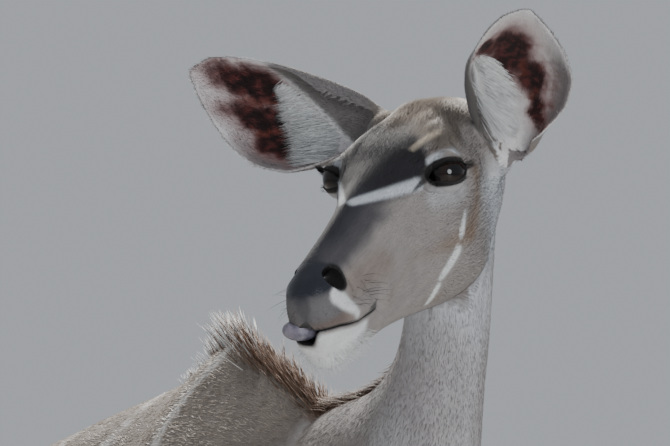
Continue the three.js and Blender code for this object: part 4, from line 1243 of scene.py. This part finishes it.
eyeWet, tree, bsdf = material("eye")
link = tree.links.new
place = node(tree, "ShaderNodeUVMap", uv_map="gaze")
radius = node(tree, "ShaderNodeVectorMath", operation="LENGTH")
rays = node(tree, "ShaderNodeTexNoise", Scale=9.0, Detail=4.0)
ring = node(tree, "ShaderNodeValToRGB")
ring.color_ramp.elements[0].position, ring.color_ramp.elements[0].color = 0.3, (0.014, 0.006, 0.004, 1)
ring.color_ramp.elements[1].position, ring.color_ramp.elements[1].color = 0.86, (0.006, 0.004, 0.004, 1)
for at, tint in (
    (0.5, (0.022, 0.009, 0.005, 1)),
    (0.66, (0.012, 0.006, 0.004, 1)),
    (0.76, (0.006, 0.004, 0.004, 1)),
):
    ring.color_ramp.elements.new(at).color = tint
slit = node(tree, "ShaderNodeVectorMath", operation="MULTIPLY")
slit.inputs[1].default_value = (2.1, 3.9, 0)
slitSize = node(tree, "ShaderNodeVectorMath", operation="LENGTH")
pupil = node(tree, "ShaderNodeMapRange", interpolation_type="SMOOTHSTEP")
pupil.inputs["From Min"].default_value, pupil.inputs["From Max"].default_value = 0.85, 1.1
brown = node(tree, "ShaderNodeMix", data_type="RGBA", blend_type="MULTIPLY")
brown.inputs["Factor"].default_value = 0.7
iris = node(tree, "ShaderNodeMix", data_type="RGBA")
iris.inputs["A"].default_value = (0.0035, 0.003, 0.004, 1)
link(place.outputs[0], radius.inputs[0])
link(radius.outputs["Value"], ring.inputs[0])
link(place.outputs[0], rays.inputs["Vector"])
link(ring.outputs[0], brown.inputs["A"])
link(rays.outputs["Color"], brown.inputs["B"])
link(place.outputs[0], slit.inputs[0])
link(slit.outputs[0], slitSize.inputs[0])
link(slitSize.outputs["Value"], pupil.inputs["Value"])
link(pupil.outputs[0], iris.inputs["Factor"])
link(brown.outputs["Result"], iris.inputs["B"])
link(iris.outputs["Result"], bsdf.inputs["Base Color"])
bsdf.inputs["Roughness"].default_value = 0.1
bsdf.inputs["Specular IOR Level"].default_value = 0.2
bsdf.inputs["Coat Weight"].default_value = 0.45
bsdf.inputs["Coat Roughness"].default_value = 0.02

lidSkin, tree, bsdf = material("lidSkin")
link = tree.links.new
markingAndPaintedLight = readings(tree, "markingAndPaintedLight")
where = node(tree, "ShaderNodeTexCoord")
creases = node(tree, "ShaderNodeTexNoise", Scale=420.0, Detail=4.0)
bump = node(tree, "ShaderNodeBump", Strength=0.5, Distance=0.0008)
link(where.outputs["Object"], creases.inputs["Vector"])
link(creases.outputs["Fac"], bump.inputs["Height"])
link(bump.outputs[0], bsdf.inputs["Normal"])
link(markingAndPaintedLight.outputs["Color"], bsdf.inputs["Base Color"])
bsdf.inputs["Roughness"].default_value = 0.6
bsdf.inputs["Specular IOR Level"].default_value = 0.3

lidSurfaces = {}
for name, eye in eyes.items():
    bm = bmesh.new()
    bmesh.ops.create_uvsphere(bm, u_segments=72, v_segments=56, radius=1)
    gaze = bm.loops.layers.uv.new("gaze")
    for v in bm.verts:  # its pole looks out, and the cornea stands proud
        away = math.acos(max(-1, min(1, v.co.z)))
        r = eyeLook["radius"] + eyeLook["cornea"] * math.exp(-(away / 0.62) ** 4)
        p = eye.at([v.co.x * r], [v.co.y * r * eye.side], [v.co.z * r])
        v.co = toWorld(p)[0]
    for face in bm.faces:
        for loop in face.loops:
            x, y, z = eye.inside(toBody(loop.vert.co)) / eyeLook["radius"]
            loop[gaze].uv = (x, y) if z > 0 else (x / max(0.01, math.hypot(x, y)) * (2 - math.hypot(x, y)), y)
    ob = meshObject(name + "_ball", outwards(bm))
    ob.data.materials.append(eyeWet)
    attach(ob, "root")
    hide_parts(name)
    lid = lidOn(eye)
    p = toBody(coordinates(lid))
    found = nearest(p)
    onLid = [values[found] for values in (sampleRegion, sampleAlong, sampleTurn)]
    onLid[0] = np.full(len(p), regionOf["head"])
    lidColour = painted(p, *onLid)
    x, y, out = eye.inside(p).T
    rim = np.stack(eye.opening(np.linspace(0, 2 * np.pi, 120)), 1)
    away = np.hypot(x[:, None] - rim[:, 0], y[:, None] - rim[:, 1]).min(1)
    within = np.hypot((x - eyeLook["middle"]) / eyeLook["half"], y / eyeLook["high"]) < 1
    away = np.where(within, 0, away) - 1.6 * ease(y / 6)  # the upper lid's dark edge is wider
    lidColour = laid(lidColour, tone["dark"] * 0.8, 1 - ease((away - 2.2) / 1.8))
    fill(lid, "markingAndPaintedLight", "FLOAT_COLOR", np.hstack([lidColour, np.ones((len(p), 1))]))
    lid.data.materials.append(lidSkin)
    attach(lid, "root")
    outer = np.interp(away + 1.6 * ease(y / 6), [3.2, 4.6, 14, 15.5], [1, 0, 0, 1])
    lidSurfaces[name] = surfaceOf(lid, p, normalsOf(lid), *onLid, np.where(within, 1, outer))

print("7 tongue, hooves and dewclaws")

tongueRows = [  # curled up against the upper lip, on her right
    [338, -78, -75, -72, -8, 8, 2, 2],
    [350, -78, -70, -63, -11, 13, 2.2, 2.2],
    [362, -77, -67, -57, -13, 16, 2.2, 2.2],
    [372, -75, -65, -54, -14, 16, 2.1, 2.1],
    [379, -71, -62, -52, -15, 13, 2, 2],
    [384, -66, -60, -53, -15, 8, 2, 2],
    [386, -62, -59, -56, -15, 3, 2, 2],
]
flesh, tree, bsdf = material("tongue")
link = tree.links.new
where = node(tree, "ShaderNodeTexCoord")
blotch = node(tree, "ShaderNodeTexNoise", Scale=90.0, Detail=3.0)
tint = node(tree, "ShaderNodeValToRGB")
tint.color_ramp.elements[0].position, tint.color_ramp.elements[0].color = 0.35, (*colour(84, 82, 96), 1)
tint.color_ramp.elements[1].position, tint.color_ramp.elements[1].color = 0.65, (*colour(134, 130, 144), 1)
buds = node(tree, "ShaderNodeTexVoronoi", Scale=900.0)
bump = node(tree, "ShaderNodeBump", Strength=0.4, Distance=0.0006)
link(where.outputs["Object"], blotch.inputs["Vector"])
link(where.outputs["Object"], buds.inputs["Vector"])
link(blotch.outputs["Fac"], tint.inputs[0])
link(tint.outputs[0], bsdf.inputs["Base Color"])
link(buds.outputs["Distance"], bump.inputs["Height"])
link(bump.outputs[0], bsdf.inputs["Normal"])
bsdf.inputs["Roughness"].default_value = 0.28
bsdf.inputs["Subsurface Weight"].default_value = 0.15


def tonguePlace(along, side, up):  # a groove down its middle
    groove = 2.2 * np.exp(-((side + 14) / 4) ** 2) * ease((up + 70) / 8)
    return inHead(np.stack([along, side, up - groove], 1))


tongue = joined("tongue_tip", [lofted(tongueRows, tonguePlace, 56, 1.6)])
tongue.data.materials.append(flesh)
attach(tongue, "root")
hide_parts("tongue")

horn, tree, bsdf = material("hoofHorn")
link = tree.links.new
where = node(tree, "ShaderNodeTexCoord")
rings = node(tree, "ShaderNodeTexWave", bands_direction="Z", Scale=62.0, Distortion=2.5, Detail=2.0)
rings.inputs["Detail Scale"].default_value = 2.0
grain = node(tree, "ShaderNodeTexNoise", Scale=220.0, Detail=4.0)
dust = node(tree, "ShaderNodeValToRGB")
dust.color_ramp.elements[0].position, dust.color_ramp.elements[0].color = 0.3, (*colour(34, 31, 30), 1)
dust.color_ramp.elements[1].position, dust.color_ramp.elements[1].color = 0.75, (*colour(96, 86, 76), 1)
bump = node(tree, "ShaderNodeBump", Strength=0.35, Distance=0.0008)
link(where.outputs["Object"], rings.inputs["Vector"])
link(where.outputs["Object"], grain.inputs["Vector"])
link(grain.outputs["Fac"], dust.inputs[0])
link(rings.outputs["Fac"], bump.inputs["Height"])
link(dust.outputs[0], bsdf.inputs["Base Color"])
link(bump.outputs[0], bsdf.inputs["Normal"])
bsdf.inputs["Roughness"].default_value = 0.42

toeRows = [
    [0, -34, -6, 46, 0, 14.5, 1.7, 2.4],
    [10, -34, -6, 45, 0, 15, 1.7, 2.4],
    [34, -31, -6, 32, 0, 14.5, 1.8, 2.3],
    [60, -27, -5, 20, 0, 13, 2, 2.2],
]
clawRows = [
    [128, -9, 0, 9, 0, 7, 2, 2],
    [112, -12, -2, 9, 0, 8.5, 2, 2],
    [94, -12, -5, 3, 0, 5.5, 2, 2],
]
for name, leg in legs.items():
    heel = leg["rows"][-3][1] - 1
    for which, offset in (("inner", -15.4), ("outer", 15.4)):
        splay = math.copysign(0.05, offset)

        def inToe(z, across, forwards):
            x = leg["foot"] + stride(0, leg["ahead"]) + 4 + forwards - z / 20
            return np.stack([x, leg["side"] * (96 + offset + across + splay * forwards), z + 0 * x], 1)

        def inClaw(z, across, forwards):
            x = heel + stride(z, leg["ahead"]) + forwards
            return np.stack([x, leg["side"] * (96 + offset * 0.85 + across), z + 0 * x], 1)

        toe = joined(f"{name}_{which}_toe", [lofted(toeRows, inToe, 44, 3)])
        claw = joined(f"{name}_{which}_claw", [lofted(clawRows, inClaw, 28, 2.4)])
        for ob, part in ((toe, "hoof"), (claw, "dewclaw")):
            ob.data.materials.append(horn)
            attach(ob, "root")
            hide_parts(f"{name}_{part}_{which}")

print("8 coat")

coatLook = {
    "seed": 41,
    "speckle": 0.3,  # how much its tufts differ in lightness
    "stray": 0.16,  # how far single tufts point off the lie
    "sway": 0.22,  # how far whole patches do
    "face": {"count": 98000, "length": 5.2, "width": 0.8, "lift": 0.1},
    "lids": {"count": 2600, "length": 5.2, "width": 0.7, "lift": 0.1},
    "neck": {"count": 49500, "length": 10, "width": 1.3, "lift": 0.05},
    "ears": {"count": 40000, "length": 5.5, "width": 0.9, "lift": 0.1},
    "body": {"count": 99000, "length": 13, "width": 2.4, "lift": 0.045},
    "legs": {"count": 34000, "length": 10, "width": 2.2, "lift": 0.1},
    "fringe": {"count": 3000, "width": 1.2, "lift": 0.24},
    "mane": {"count": 2600, "length": 46, "width": 1.7},
    "tail": {"count": 1500, "length": 78, "width": 2.0},
    "chin": {"count": 700, "length": 13, "width": 0.7},
    "whiskers": {"count": 46, "length": 38, "width": 0.5},
    "lashes": {"count": 130, "length": 11, "width": 0.8},
}
dice = np.random.default_rng(coatLook["seed"])
uvTuft = 0.003
boxLow, boxTop = (np.array(corner) / mm - shift for corner in cadBox)  # no hair stands out of the solids' box
boxLow, boxTop = boxLow + 1, boxTop - 1


def tuftObject(
    name, roots, normals, ways, length, width, lift, tints, maps, segments=1, droop=None, sunk=0.8, flat=0.5
):
    n, k = len(roots), segments
    maps = 0.01 + 0.98 * (maps - maps.min(0)) / np.ptp(maps, axis=0)
    normals, ways = unit(normals), unit(ways)
    across = unit(np.cross(ways, normals))
    length, width, lift = (np.broadcast_to(v, n)[:, None] for v in (length, width, lift))
    droop = np.zeros((n, 3)) if droop is None else droop
    reach = (ways + normals * lift + droop) * length
    room = np.where(reach > 0, boxTop - roots, boxLow - roots) / np.where(np.abs(reach) < 1e-6, 1e-6, reach)
    length = length * np.clip(room.min(1), 0.15, 1)[:, None]
    verts, shades, uvs = [], [], []
    for ring in range(k + 1):
        t = ring / k
        path = roots - normals * sunk + ways * length * t + normals * (lift * length + sunk) * t
        path = path + droop * length * t * t
        taper = (1 - t) ** 0.7 if ring else 0.75
        shade = mix(0.84, 1.1, t)
        for corner in range(3 if ring < k else 1):
            angle = math.pi / 2 + corner * 2 * math.pi / 3
            c, s = (math.cos(angle), math.sin(angle)) if ring < k else (0, 0)
            verts.append(path + across * width * taper * c / 2 + normals * width * taper * s * flat / 2)
            shades.append(tints * shade)
            uvs.append(maps + uvTuft * np.array([0.5 * c, t + 0.22 * s - 0.5]))
    per = 3 * k + 1
    points = np.clip(np.stack(verts, 1).reshape(-1, 3), boxLow, boxTop)
    faces = [(0, 2, 1)]
    for ring in range(k - 1):
        for corner in range(3):
            a, b = 3 * ring + corner, 3 * ring + (corner + 1) % 3
            faces += [(a, b, b + 3), (a, b + 3, a + 3)]
    tip = 3 * k
    faces += [(tip - 3 + corner, tip - 3 + (corner + 1) % 3, tip) for corner in range(3)]
    index = (np.array(faces)[None] + per * np.arange(n)[:, None, None]).reshape(-1)
    mesh = bpy.data.meshes.new(name)
    mesh.vertices.add(len(points))
    mesh.vertices.foreach_set("co", toWorld(points).astype(np.float32).ravel())
    mesh.loops.add(len(index))
    mesh.loops.foreach_set("vertex_index", index.astype(np.int32))
    mesh.polygons.add(len(index) // 3)
    mesh.polygons.foreach_set("loop_start", np.arange(0, len(index), 3, dtype=np.int32))
    mesh.polygons.foreach_set("use_smooth", np.ones(len(index) // 3, bool))
    mesh.update(calc_edges=True)
    uvs = np.stack(uvs, 1).reshape(-1, 2)
    mesh.uv_layers.new(name="OFBake").data.foreach_set("uv", uvs[index].astype(np.float32).ravel())
    ob = bpy.data.objects.new(name, mesh)
    scene.collection.objects.link(ob)
    shades = np.stack(shades, 1).reshape(-1, 3)
    fill(ob, "markingAndPaintedLight", "FLOAT_COLOR", np.hstack([shades, np.ones((len(points), 1))]))
    mesh.materials.append(tuftHair)
    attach(ob, "root")
    return ob


inCup = np.isin(region, [regionOf["ear_left_cup"], regionOf["ear_right_cup"]])
bald = np.maximum(bare, inCup * (np.abs(turn) > 0.93))
hideSurface = surfaceOf(skin, body, skinNormals, region, along, turn, bald)
print("  triangles", len(hideSurface["corners"]))


def scattered(count, wanted, surface=hideSurface):  # roots spread evenly over the wanted regions
    corners = surface["corners"]
    weight = surface["share"] * np.isin(surface["region"][corners[:, 0]], [regionOf[name] for name in wanted])
    steps = np.cumsum(weight)
    picked = np.searchsorted(steps, (np.arange(count) + dice.random(count)) / count * steps[-1])
    corner = corners[np.minimum(picked, len(corners) - 1)]
    a, b = dice.random(count), dice.random(count)
    flip = a + b > 1
    a[flip], b[flip] = 1 - a[flip], 1 - b[flip]
    share = np.stack([1 - a - b, a, b], 1)[:, :, None]
    roots = {key: (surface[key][corner] * share).sum(1) for key in ("at", "normal", "way")}
    return {**roots, **{key: surface[key][corner[:, 0]] for key in ("region", "along", "turn")}}


def unwrapped(roots, names):  # each region is rolled out flat in its own strip of the map
    out = np.zeros((len(roots["at"]), 2))
    for k, name in enumerate(names):
        on = roots["region"] == regionOf[name]
        p = roots["at"][on]
        if name == "head":
            h = toHead(p)
            u, v = (h[:, 0] + 40) / 430, np.arctan2(h[:, 1], h[:, 2] + 75)
        elif name in ("torso", "neck"):
            u = (p[:, 0] + 970) / 1300 if name == "torso" else (p[:, 2] - 850) / 620
            if name == "torso":
                v = np.arctan2(p[:, 1], p[:, 2] - 900)
            else:
                line = neckLine.at(roots["along"][on])
                v = np.arctan2(p[:, 1] - line[:, 1], line[:, 0] - p[:, 0])
        elif name in legs:
            leg = legs[name]
            u = (p[:, 2] - 50) / 920
            x = np.interp(p[:, 2], [r[0] for r in leg["rows"]][::-1], [r[2] for r in leg["rows"]][::-1])
            v = np.arctan2(p[:, 1] - leg["side"] * 100, p[:, 0] - x - stride(p[:, 2], leg["ahead"]))
        elif name == "tail":
            line = tailLine.at(roots["along"][on])
            u, v = (1030 - p[:, 2]) / 340, np.arctan2(p[:, 1], p[:, 0] - line[:, 0])
        else:
            e = toEar(earShapes[name.replace("_cup", "")], p)
            u, v = e[:, 0] / 215, np.pi * np.clip(e[:, 1] / 75, -1, 1)
        strip = (v / (2 * np.pi) + 0.5 + k) / len(names)
        out[on] = np.stack([np.clip(u, 0, 1), np.clip(strip, 0, 1)], 1)
    return out


def furOn(name, names, look, count, lengthOf=None, surface=hideSurface):
    r = scattered(count, names, surface)
    jitter = dice.normal(0, 1, (count, 3))
    sway = wavy(r["at"], 26, 3.1)[:, None] * np.cross(r["way"], r["normal"])
    way = square(r["way"] + coatLook["stray"] * jitter + coatLook["sway"] * sway, r["normal"])
    size = (0.75 + 0.5 * dice.random(count)) * (1 if lengthOf is None else lengthOf(r))
    tints = painted(r["at"], r["region"], r["along"], r["turn"])
    tints = tints * (1 + coatLook["speckle"] * (dice.random(count) - 0.5))[:, None]
    width = look["width"] * (0.8 + 0.4 * dice.random(count))
    lift = look["lift"] * (0.4 + 1.2 * dice.random(count))
    long = look["length"] * size
    ob = tuftObject(name, r["at"], r["normal"], way, long, width, lift, tints, unwrapped(r, names))
    return ob


def faceLength(r):  # shortest on the muzzle and round the eyes, longer on the cheeks and jaw
    h = toHead(r["at"])
    size = mix(1.35, 0.5, ease((h[:, 0] - 40) / 260))
    size = size * mix(1, 2.3, blob(h, [58, 0, 0], [44, 38, 36], 0.8))
    size = size * mix(1, 1.7, ease((-120 - h[:, 2]) / 40) * ease((h[:, 0] - 250) / 60))
    return size * (1 - 0.5 * blob(h, eyeSpot + [0, 12, 0], [34, 26, 24], 0.6))


half = coatLook["face"]["count"] // 2
for k in (1, 2):
    furOn(f"coat_face_{k}", ["head"], coatLook["face"], half, faceLength)
furOn("coat_neck", ["neck"], coatLook["neck"], coatLook["neck"]["count"])
earParts = ["ear_left", "ear_left_cup", "ear_right", "ear_right_cup"]
furOn("coat_ears", earParts, coatLook["ears"], coatLook["ears"]["count"])
half = coatLook["body"]["count"] // 2
for k in (1, 2):
    furOn(f"coat_body_{k}", ["torso"], coatLook["body"], half)
furOn("coat_legs", [*legs, "tail"], coatLook["legs"], coatLook["legs"]["count"])
for name, surface in lidSurfaces.items():
    furOn(f"coat_lids_{name}", ["head"], coatLook["lids"], coatLook["lids"]["count"], faceLength, surface)


def hitAlong(starts, way, reach=120):  # where each ray meets the skin, and the skin's own direction there
    at, normals, met = [], [], []
    ways = np.broadcast_to(way, starts.shape)
    for start, aim in zip(toWorld(starts), ways):
        hit = skinTree.ray_cast(Vector(start), Vector(aim), reach * mm)
        met.append(hit[0] is not None)
        at.append(toBody(hit[0]) if hit[0] else start)
        normals.append(hit[1] if hit[0] else (0, 0, 1))
    return np.array(at), np.array(normals), np.array(met)


def longHair(name, roots, normals, ways, length, width, droop, tints, maps, segments=4):
    ob = tuftObject(name, roots, normals, ways, length, width, 0.02, tints, maps, segments, droop, 1.5, 0.55)
    return ob


def fringeOn(name, ear):  # long white hairs that cross the cup of the ear from its front edge
    look, rows = coatLook["fringe"], np.array(cups[name]["fringe"], float)
    count = look["count"]
    t = dice.random(count) * (len(rows) - 1)
    i = np.minimum(t.astype(int), len(rows) - 2)
    row = mix(rows[i], rows[i + 1], (t - i)[:, None])
    inward = 0.55 * dice.random(count) ** 1.5
    span = row[:, 2:] - row[:, :2]
    flat = row[:, :2] + span * (inward - 0.05)[:, None] + dice.normal(0, 1.1, (count, 2))
    starts = ear.base + np.outer(flat[:, 0], ear.length) + np.outer(flat[:, 1], ear.rear) + 70 * ear.face
    at, normal, met = hitAlong(starts, -ear.face)
    aim = span + dice.normal(0, 0.11, (count, 2)) * np.linalg.norm(span, axis=1)[:, None]
    way = unit(aim[:, :1] * ear.length + aim[:, 1:] * ear.rear)
    rise = look["lift"] * (1.2 - inward) * (0.4 + 0.9 * dice.random(count))
    way = square(way, normal) + normal * rise[:, None]
    reach = np.linalg.norm(span, axis=1) * (1.1 - inward) * (0.62 + 0.5 * dice.random(count))
    tints = tone["white"] * (0.74 + 0.34 * dice.random(count))[:, None]
    near = met & ((at - ear.base) @ ear.face > -60)
    return longHair("fringe_" + name, at[near], normal[near], way[near], reach[near], look["width"],
                    -0.14 * normal[near], tints[near], flat[near])


def maneHair():  # from the nape down the neck and over the withers, thinning out behind them
    look = coatLook["mane"]
    count = look["count"]
    t = dice.random(count)
    onNeck = t < 0.62
    a = np.where(onNeck, mix(5.9, 2.0, t / 0.62), 0)
    x = mix(205, -110, (t - 0.62) / 0.38)
    side = dice.normal(0, 5.5, count)
    at = np.empty((count, 3))
    up = np.empty((count, 3))
    back = np.empty((count, 3))
    rows = smooth(neck["rows"], a[onNeck])
    at[onNeck] = inNeck(a[onNeck], side[onNeck], rows[:, 3] - 4 - 0.05 * side[onNeck] ** 2)
    up[onNeck] = unit(inNeck(a[onNeck], side[onNeck] * 1.5, rows[:, 3] + 20) - at[onNeck])
    back[onNeck] = -neckLine.way(a[onNeck])
    rest = ~onNeck
    rows = smooth(torso["rows"], x[rest])
    at[rest] = inBody(x[rest], side[rest], rows[:, 3] - 6 - 0.06 * side[rest] ** 2)
    up[rest] = unit(np.stack([0 * x[rest], side[rest] * 0.04, 1 + 0 * x[rest]], 1))
    back[rest] = [-1, 0, 0]
    onBack = np.where(x > -5, 1.0, mix(1.0, 0.3, ease((-5 - x) / 80)))
    size = np.where(onNeck, mix(0.72, 1.0, (6 - a) / 4), onBack)
    size = size * (0.6 + 0.5 * dice.random(count))
    way = up + back * 0.65 + dice.normal(0, 0.13, (count, 3))
    tints = np.where((dice.random(count) < 0.3)[:, None], tone["brown"], tone["mane"])
    tints = tints * (0.8 + 0.5 * dice.random(count))[:, None]
    pale = (rest & (dice.random(count) < ease((70 - x) / 90) * 0.85))[:, None]
    tints = np.where(pale, tone["white"] * (0.8 + 0.2 * dice.random(count))[:, None], tints)
    return longHair("mane", at, up, way, look["length"] * size * 0.86, look["width"], back * 0.3, tints,
                    np.stack([t, np.clip(side, -14, 14)], 1), 3)


def tailHair():
    look = coatLook["tail"]
    count = look["count"]
    a = mix(1.4, 4.9, dice.random(count) ** 0.8)
    turned = dice.random(count) * 2 * np.pi
    rows = smooth(tail["rows"], a)
    side, rise = sectionPoint(rows, turned)
    at = inTail(a, side * 0.8, rise * 0.8)
    down = tailLine.way(a)
    out = unit(at - tailLine.at(a))
    way = down + out * (0.26 - 0.16 * np.maximum(0, out[:, 0]))[:, None] + dice.normal(0, 0.05, (count, 3))
    tints = painted(at, np.full(count, regionOf["tail"]), a, turned)
    tints = tints * (0.75 + 0.5 * dice.random(count))[:, None]
    reach = look["length"] * (0.6 + 0.45 * dice.random(count)) * mix(0.7, 1.0, ease((a - 1.4) / 1.5))
    reach = np.minimum(reach, (at[:, 2] - 640) * 0.98)
    return longHair("tail_hair", at, out, way, reach, look["width"], down * 0.2, tints,
                    np.stack([a, turned], 1), 4)


def chinHair():  # short stiff white hairs under the chin and lower lip
    look = coatLook["chin"]
    r = scattered(look["count"] * 30, ["head"])
    h = toHead(r["at"])
    on = (h[:, 0] > 300) & (h[:, 2] < -92)
    pick = np.nonzero(on)[0][: look["count"]]
    at, normal = r["at"][pick], r["normal"][pick]
    n = len(pick)
    way = normal * 0.9 - 0.2 * faceAxis + 0.25 * r["way"][pick] + dice.normal(0, 0.22, (n, 3))
    tints = tone["white"] * (0.75 + 0.3 * dice.random(n))[:, None]
    reach = look["length"] * (0.45 + 0.7 * dice.random(n))
    return longHair("chin_hair", at, normal, way, reach, look["width"], 0.1 * r["way"][pick], tints,
                    unwrapped({key: value[pick] for key, value in r.items()}, ["head"]), 2)


def whiskerHair():
    look = coatLook["whiskers"]
    r = scattered(look["count"] * 60, ["head"])
    h = toHead(r["at"])
    on = ((h[:, 0] > 300) & (h[:, 2] < -44)) | ((h[:, 0] > 318) & (np.abs(h[:, 2] + 62) < 16))
    pick = np.nonzero(on)[0][: look["count"]]
    at, normal = r["at"][pick], r["normal"][pick]
    n = len(pick)
    way = normal + 0.3 * faceAxis + dice.normal(0, 0.3, (n, 3))
    tints = np.tile(tone["dark"] * 1.5, (n, 1))
    reach = look["length"] * (0.4 + 0.6 * dice.random(n))
    droop = 0.25 * headWay([0.3, 0, -1.0]) + 0 * at
    maps = unwrapped({key: value[pick] for key, value in r.items()}, ["head"])
    return longHair("whiskers", at, normal, way, reach, look["width"], droop, tints, maps, 4)


def lashesOn(name, eye):  # thick along the upper lid, sweeping back past its outer corner, and few below
    look = coatLook["lashes"]
    count = look["count"]
    upper = np.arange(count) < count * 0.8
    above, below = mix(0.22, 1.02, dice.random(count)), mix(0.25, 0.8, dice.random(count))
    turned = np.where(upper, above * np.pi, -below * np.pi)
    x, y = eye.opening(turned)
    ahead, behind = eye.opening(turned + 0.01), eye.opening(turned - 0.01)
    grow = unit(np.stack([ahead[1] - behind[1], behind[0] - ahead[0]], 1))
    x, y = x + grow[:, 0] * 0.9, y + grow[:, 1] * 0.9
    onBall = np.sqrt(np.maximum(60, (eyeLook["radius"] + 0.3) ** 2 - x * x - y * y))
    at = eye.at(x, y, onBall + 1.6)
    rise = np.where(upper, 0.05, -0.3)
    lifted = (0.3 * grow[:, 1:] * (grow[:, 1:] < 0) + rise[:, None]) * eye.high
    way = 0.75 * eye.look + 0.35 * grow[:, :1] * eye.long + lifted
    way = way - 0.5 * eye.long + dice.normal(0, 0.07, (count, 3))
    reach = look["length"] * np.where(upper, mix(0.7, 1.1, turned / np.pi), 0.4)
    reach = reach * (0.8 + 0.3 * dice.random(count))
    return longHair("lashes_" + name, at, np.tile(eye.high, (count, 1)), way, reach, look["width"],
                    np.outer(np.where(upper, 0.22, -0.1), eye.high), np.tile(tone["dark"] * 0.5, (count, 1)),
                    np.stack([turned, dice.random(count)], 1), 3)


for name, ear in earShapes.items():
    fringeOn(name, ear)
for name, eye in eyes.items():
    lashesOn(name, eye)
maneHair()
tailHair()
chinHair()
whiskerHair()


print("9 floor, light and camera")

stage = {"focal": 413.7, "from": [6692, -3451, 1323], "look": [-0.883, 0.469, 0]}
bm = bmesh.new()
bmesh.ops.create_grid(bm, x_segments=1, y_segments=1, size=14)
floor = meshObject("floor", bm)
paper = bpy.data.materials.new("paper")
paper.use_nodes = True
paper.node_tree.nodes["Principled BSDF"].inputs["Base Color"].default_value = (0.62, 0.61, 0.59, 1)
floor.data.materials.append(paper)
floor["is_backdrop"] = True

camera = bpy.data.objects.new("camera", bpy.data.cameras.new("camera"))
scene.collection.objects.link(camera)
scene.camera = camera
camera.data.lens = stage["focal"]
camera.data.sensor_width = 36
camera.data.clip_end = 60
camera.location = toWorld(stage["from"])[0]
camera.rotation_euler = Vector(stage["look"]).to_track_quat("-Z", "Y").to_euler()


def lamp(name, where, aim, power, size, colour=(1, 1, 1)):
    light = bpy.data.lights.new(name, "AREA")
    light.energy, light.shape, light.size, light.color = power, "DISK", size, colour
    ob = bpy.data.objects.new(name, light)
    scene.collection.objects.link(ob)
    ob.location = where
    ob.rotation_euler = (Vector(aim) - Vector(where)).to_track_quat("-Z", "Y").to_euler()


lamp("key", (-3.0, 1.3, 3.5), (0.3, 0, 1.1), 380, 0.9, (1, 0.96, 0.9))
lamp("fill", (5.4, -0.6, 1.7), (0.4, 0, 1.2), 112, 2.2, (0.93, 0.97, 1))
world = bpy.data.worlds.new("studio")
scene.world = world
world.use_nodes = True
world.node_tree.nodes["Background"].inputs[0].default_value = (0.8, 0.84, 0.9, 1)
world.node_tree.nodes["Background"].inputs[1].default_value = 0.5

plain = lambda box: [[float(c) for c in corner] for corner in box]
{"cad": plain(cadBox), "visual": plain(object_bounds())}
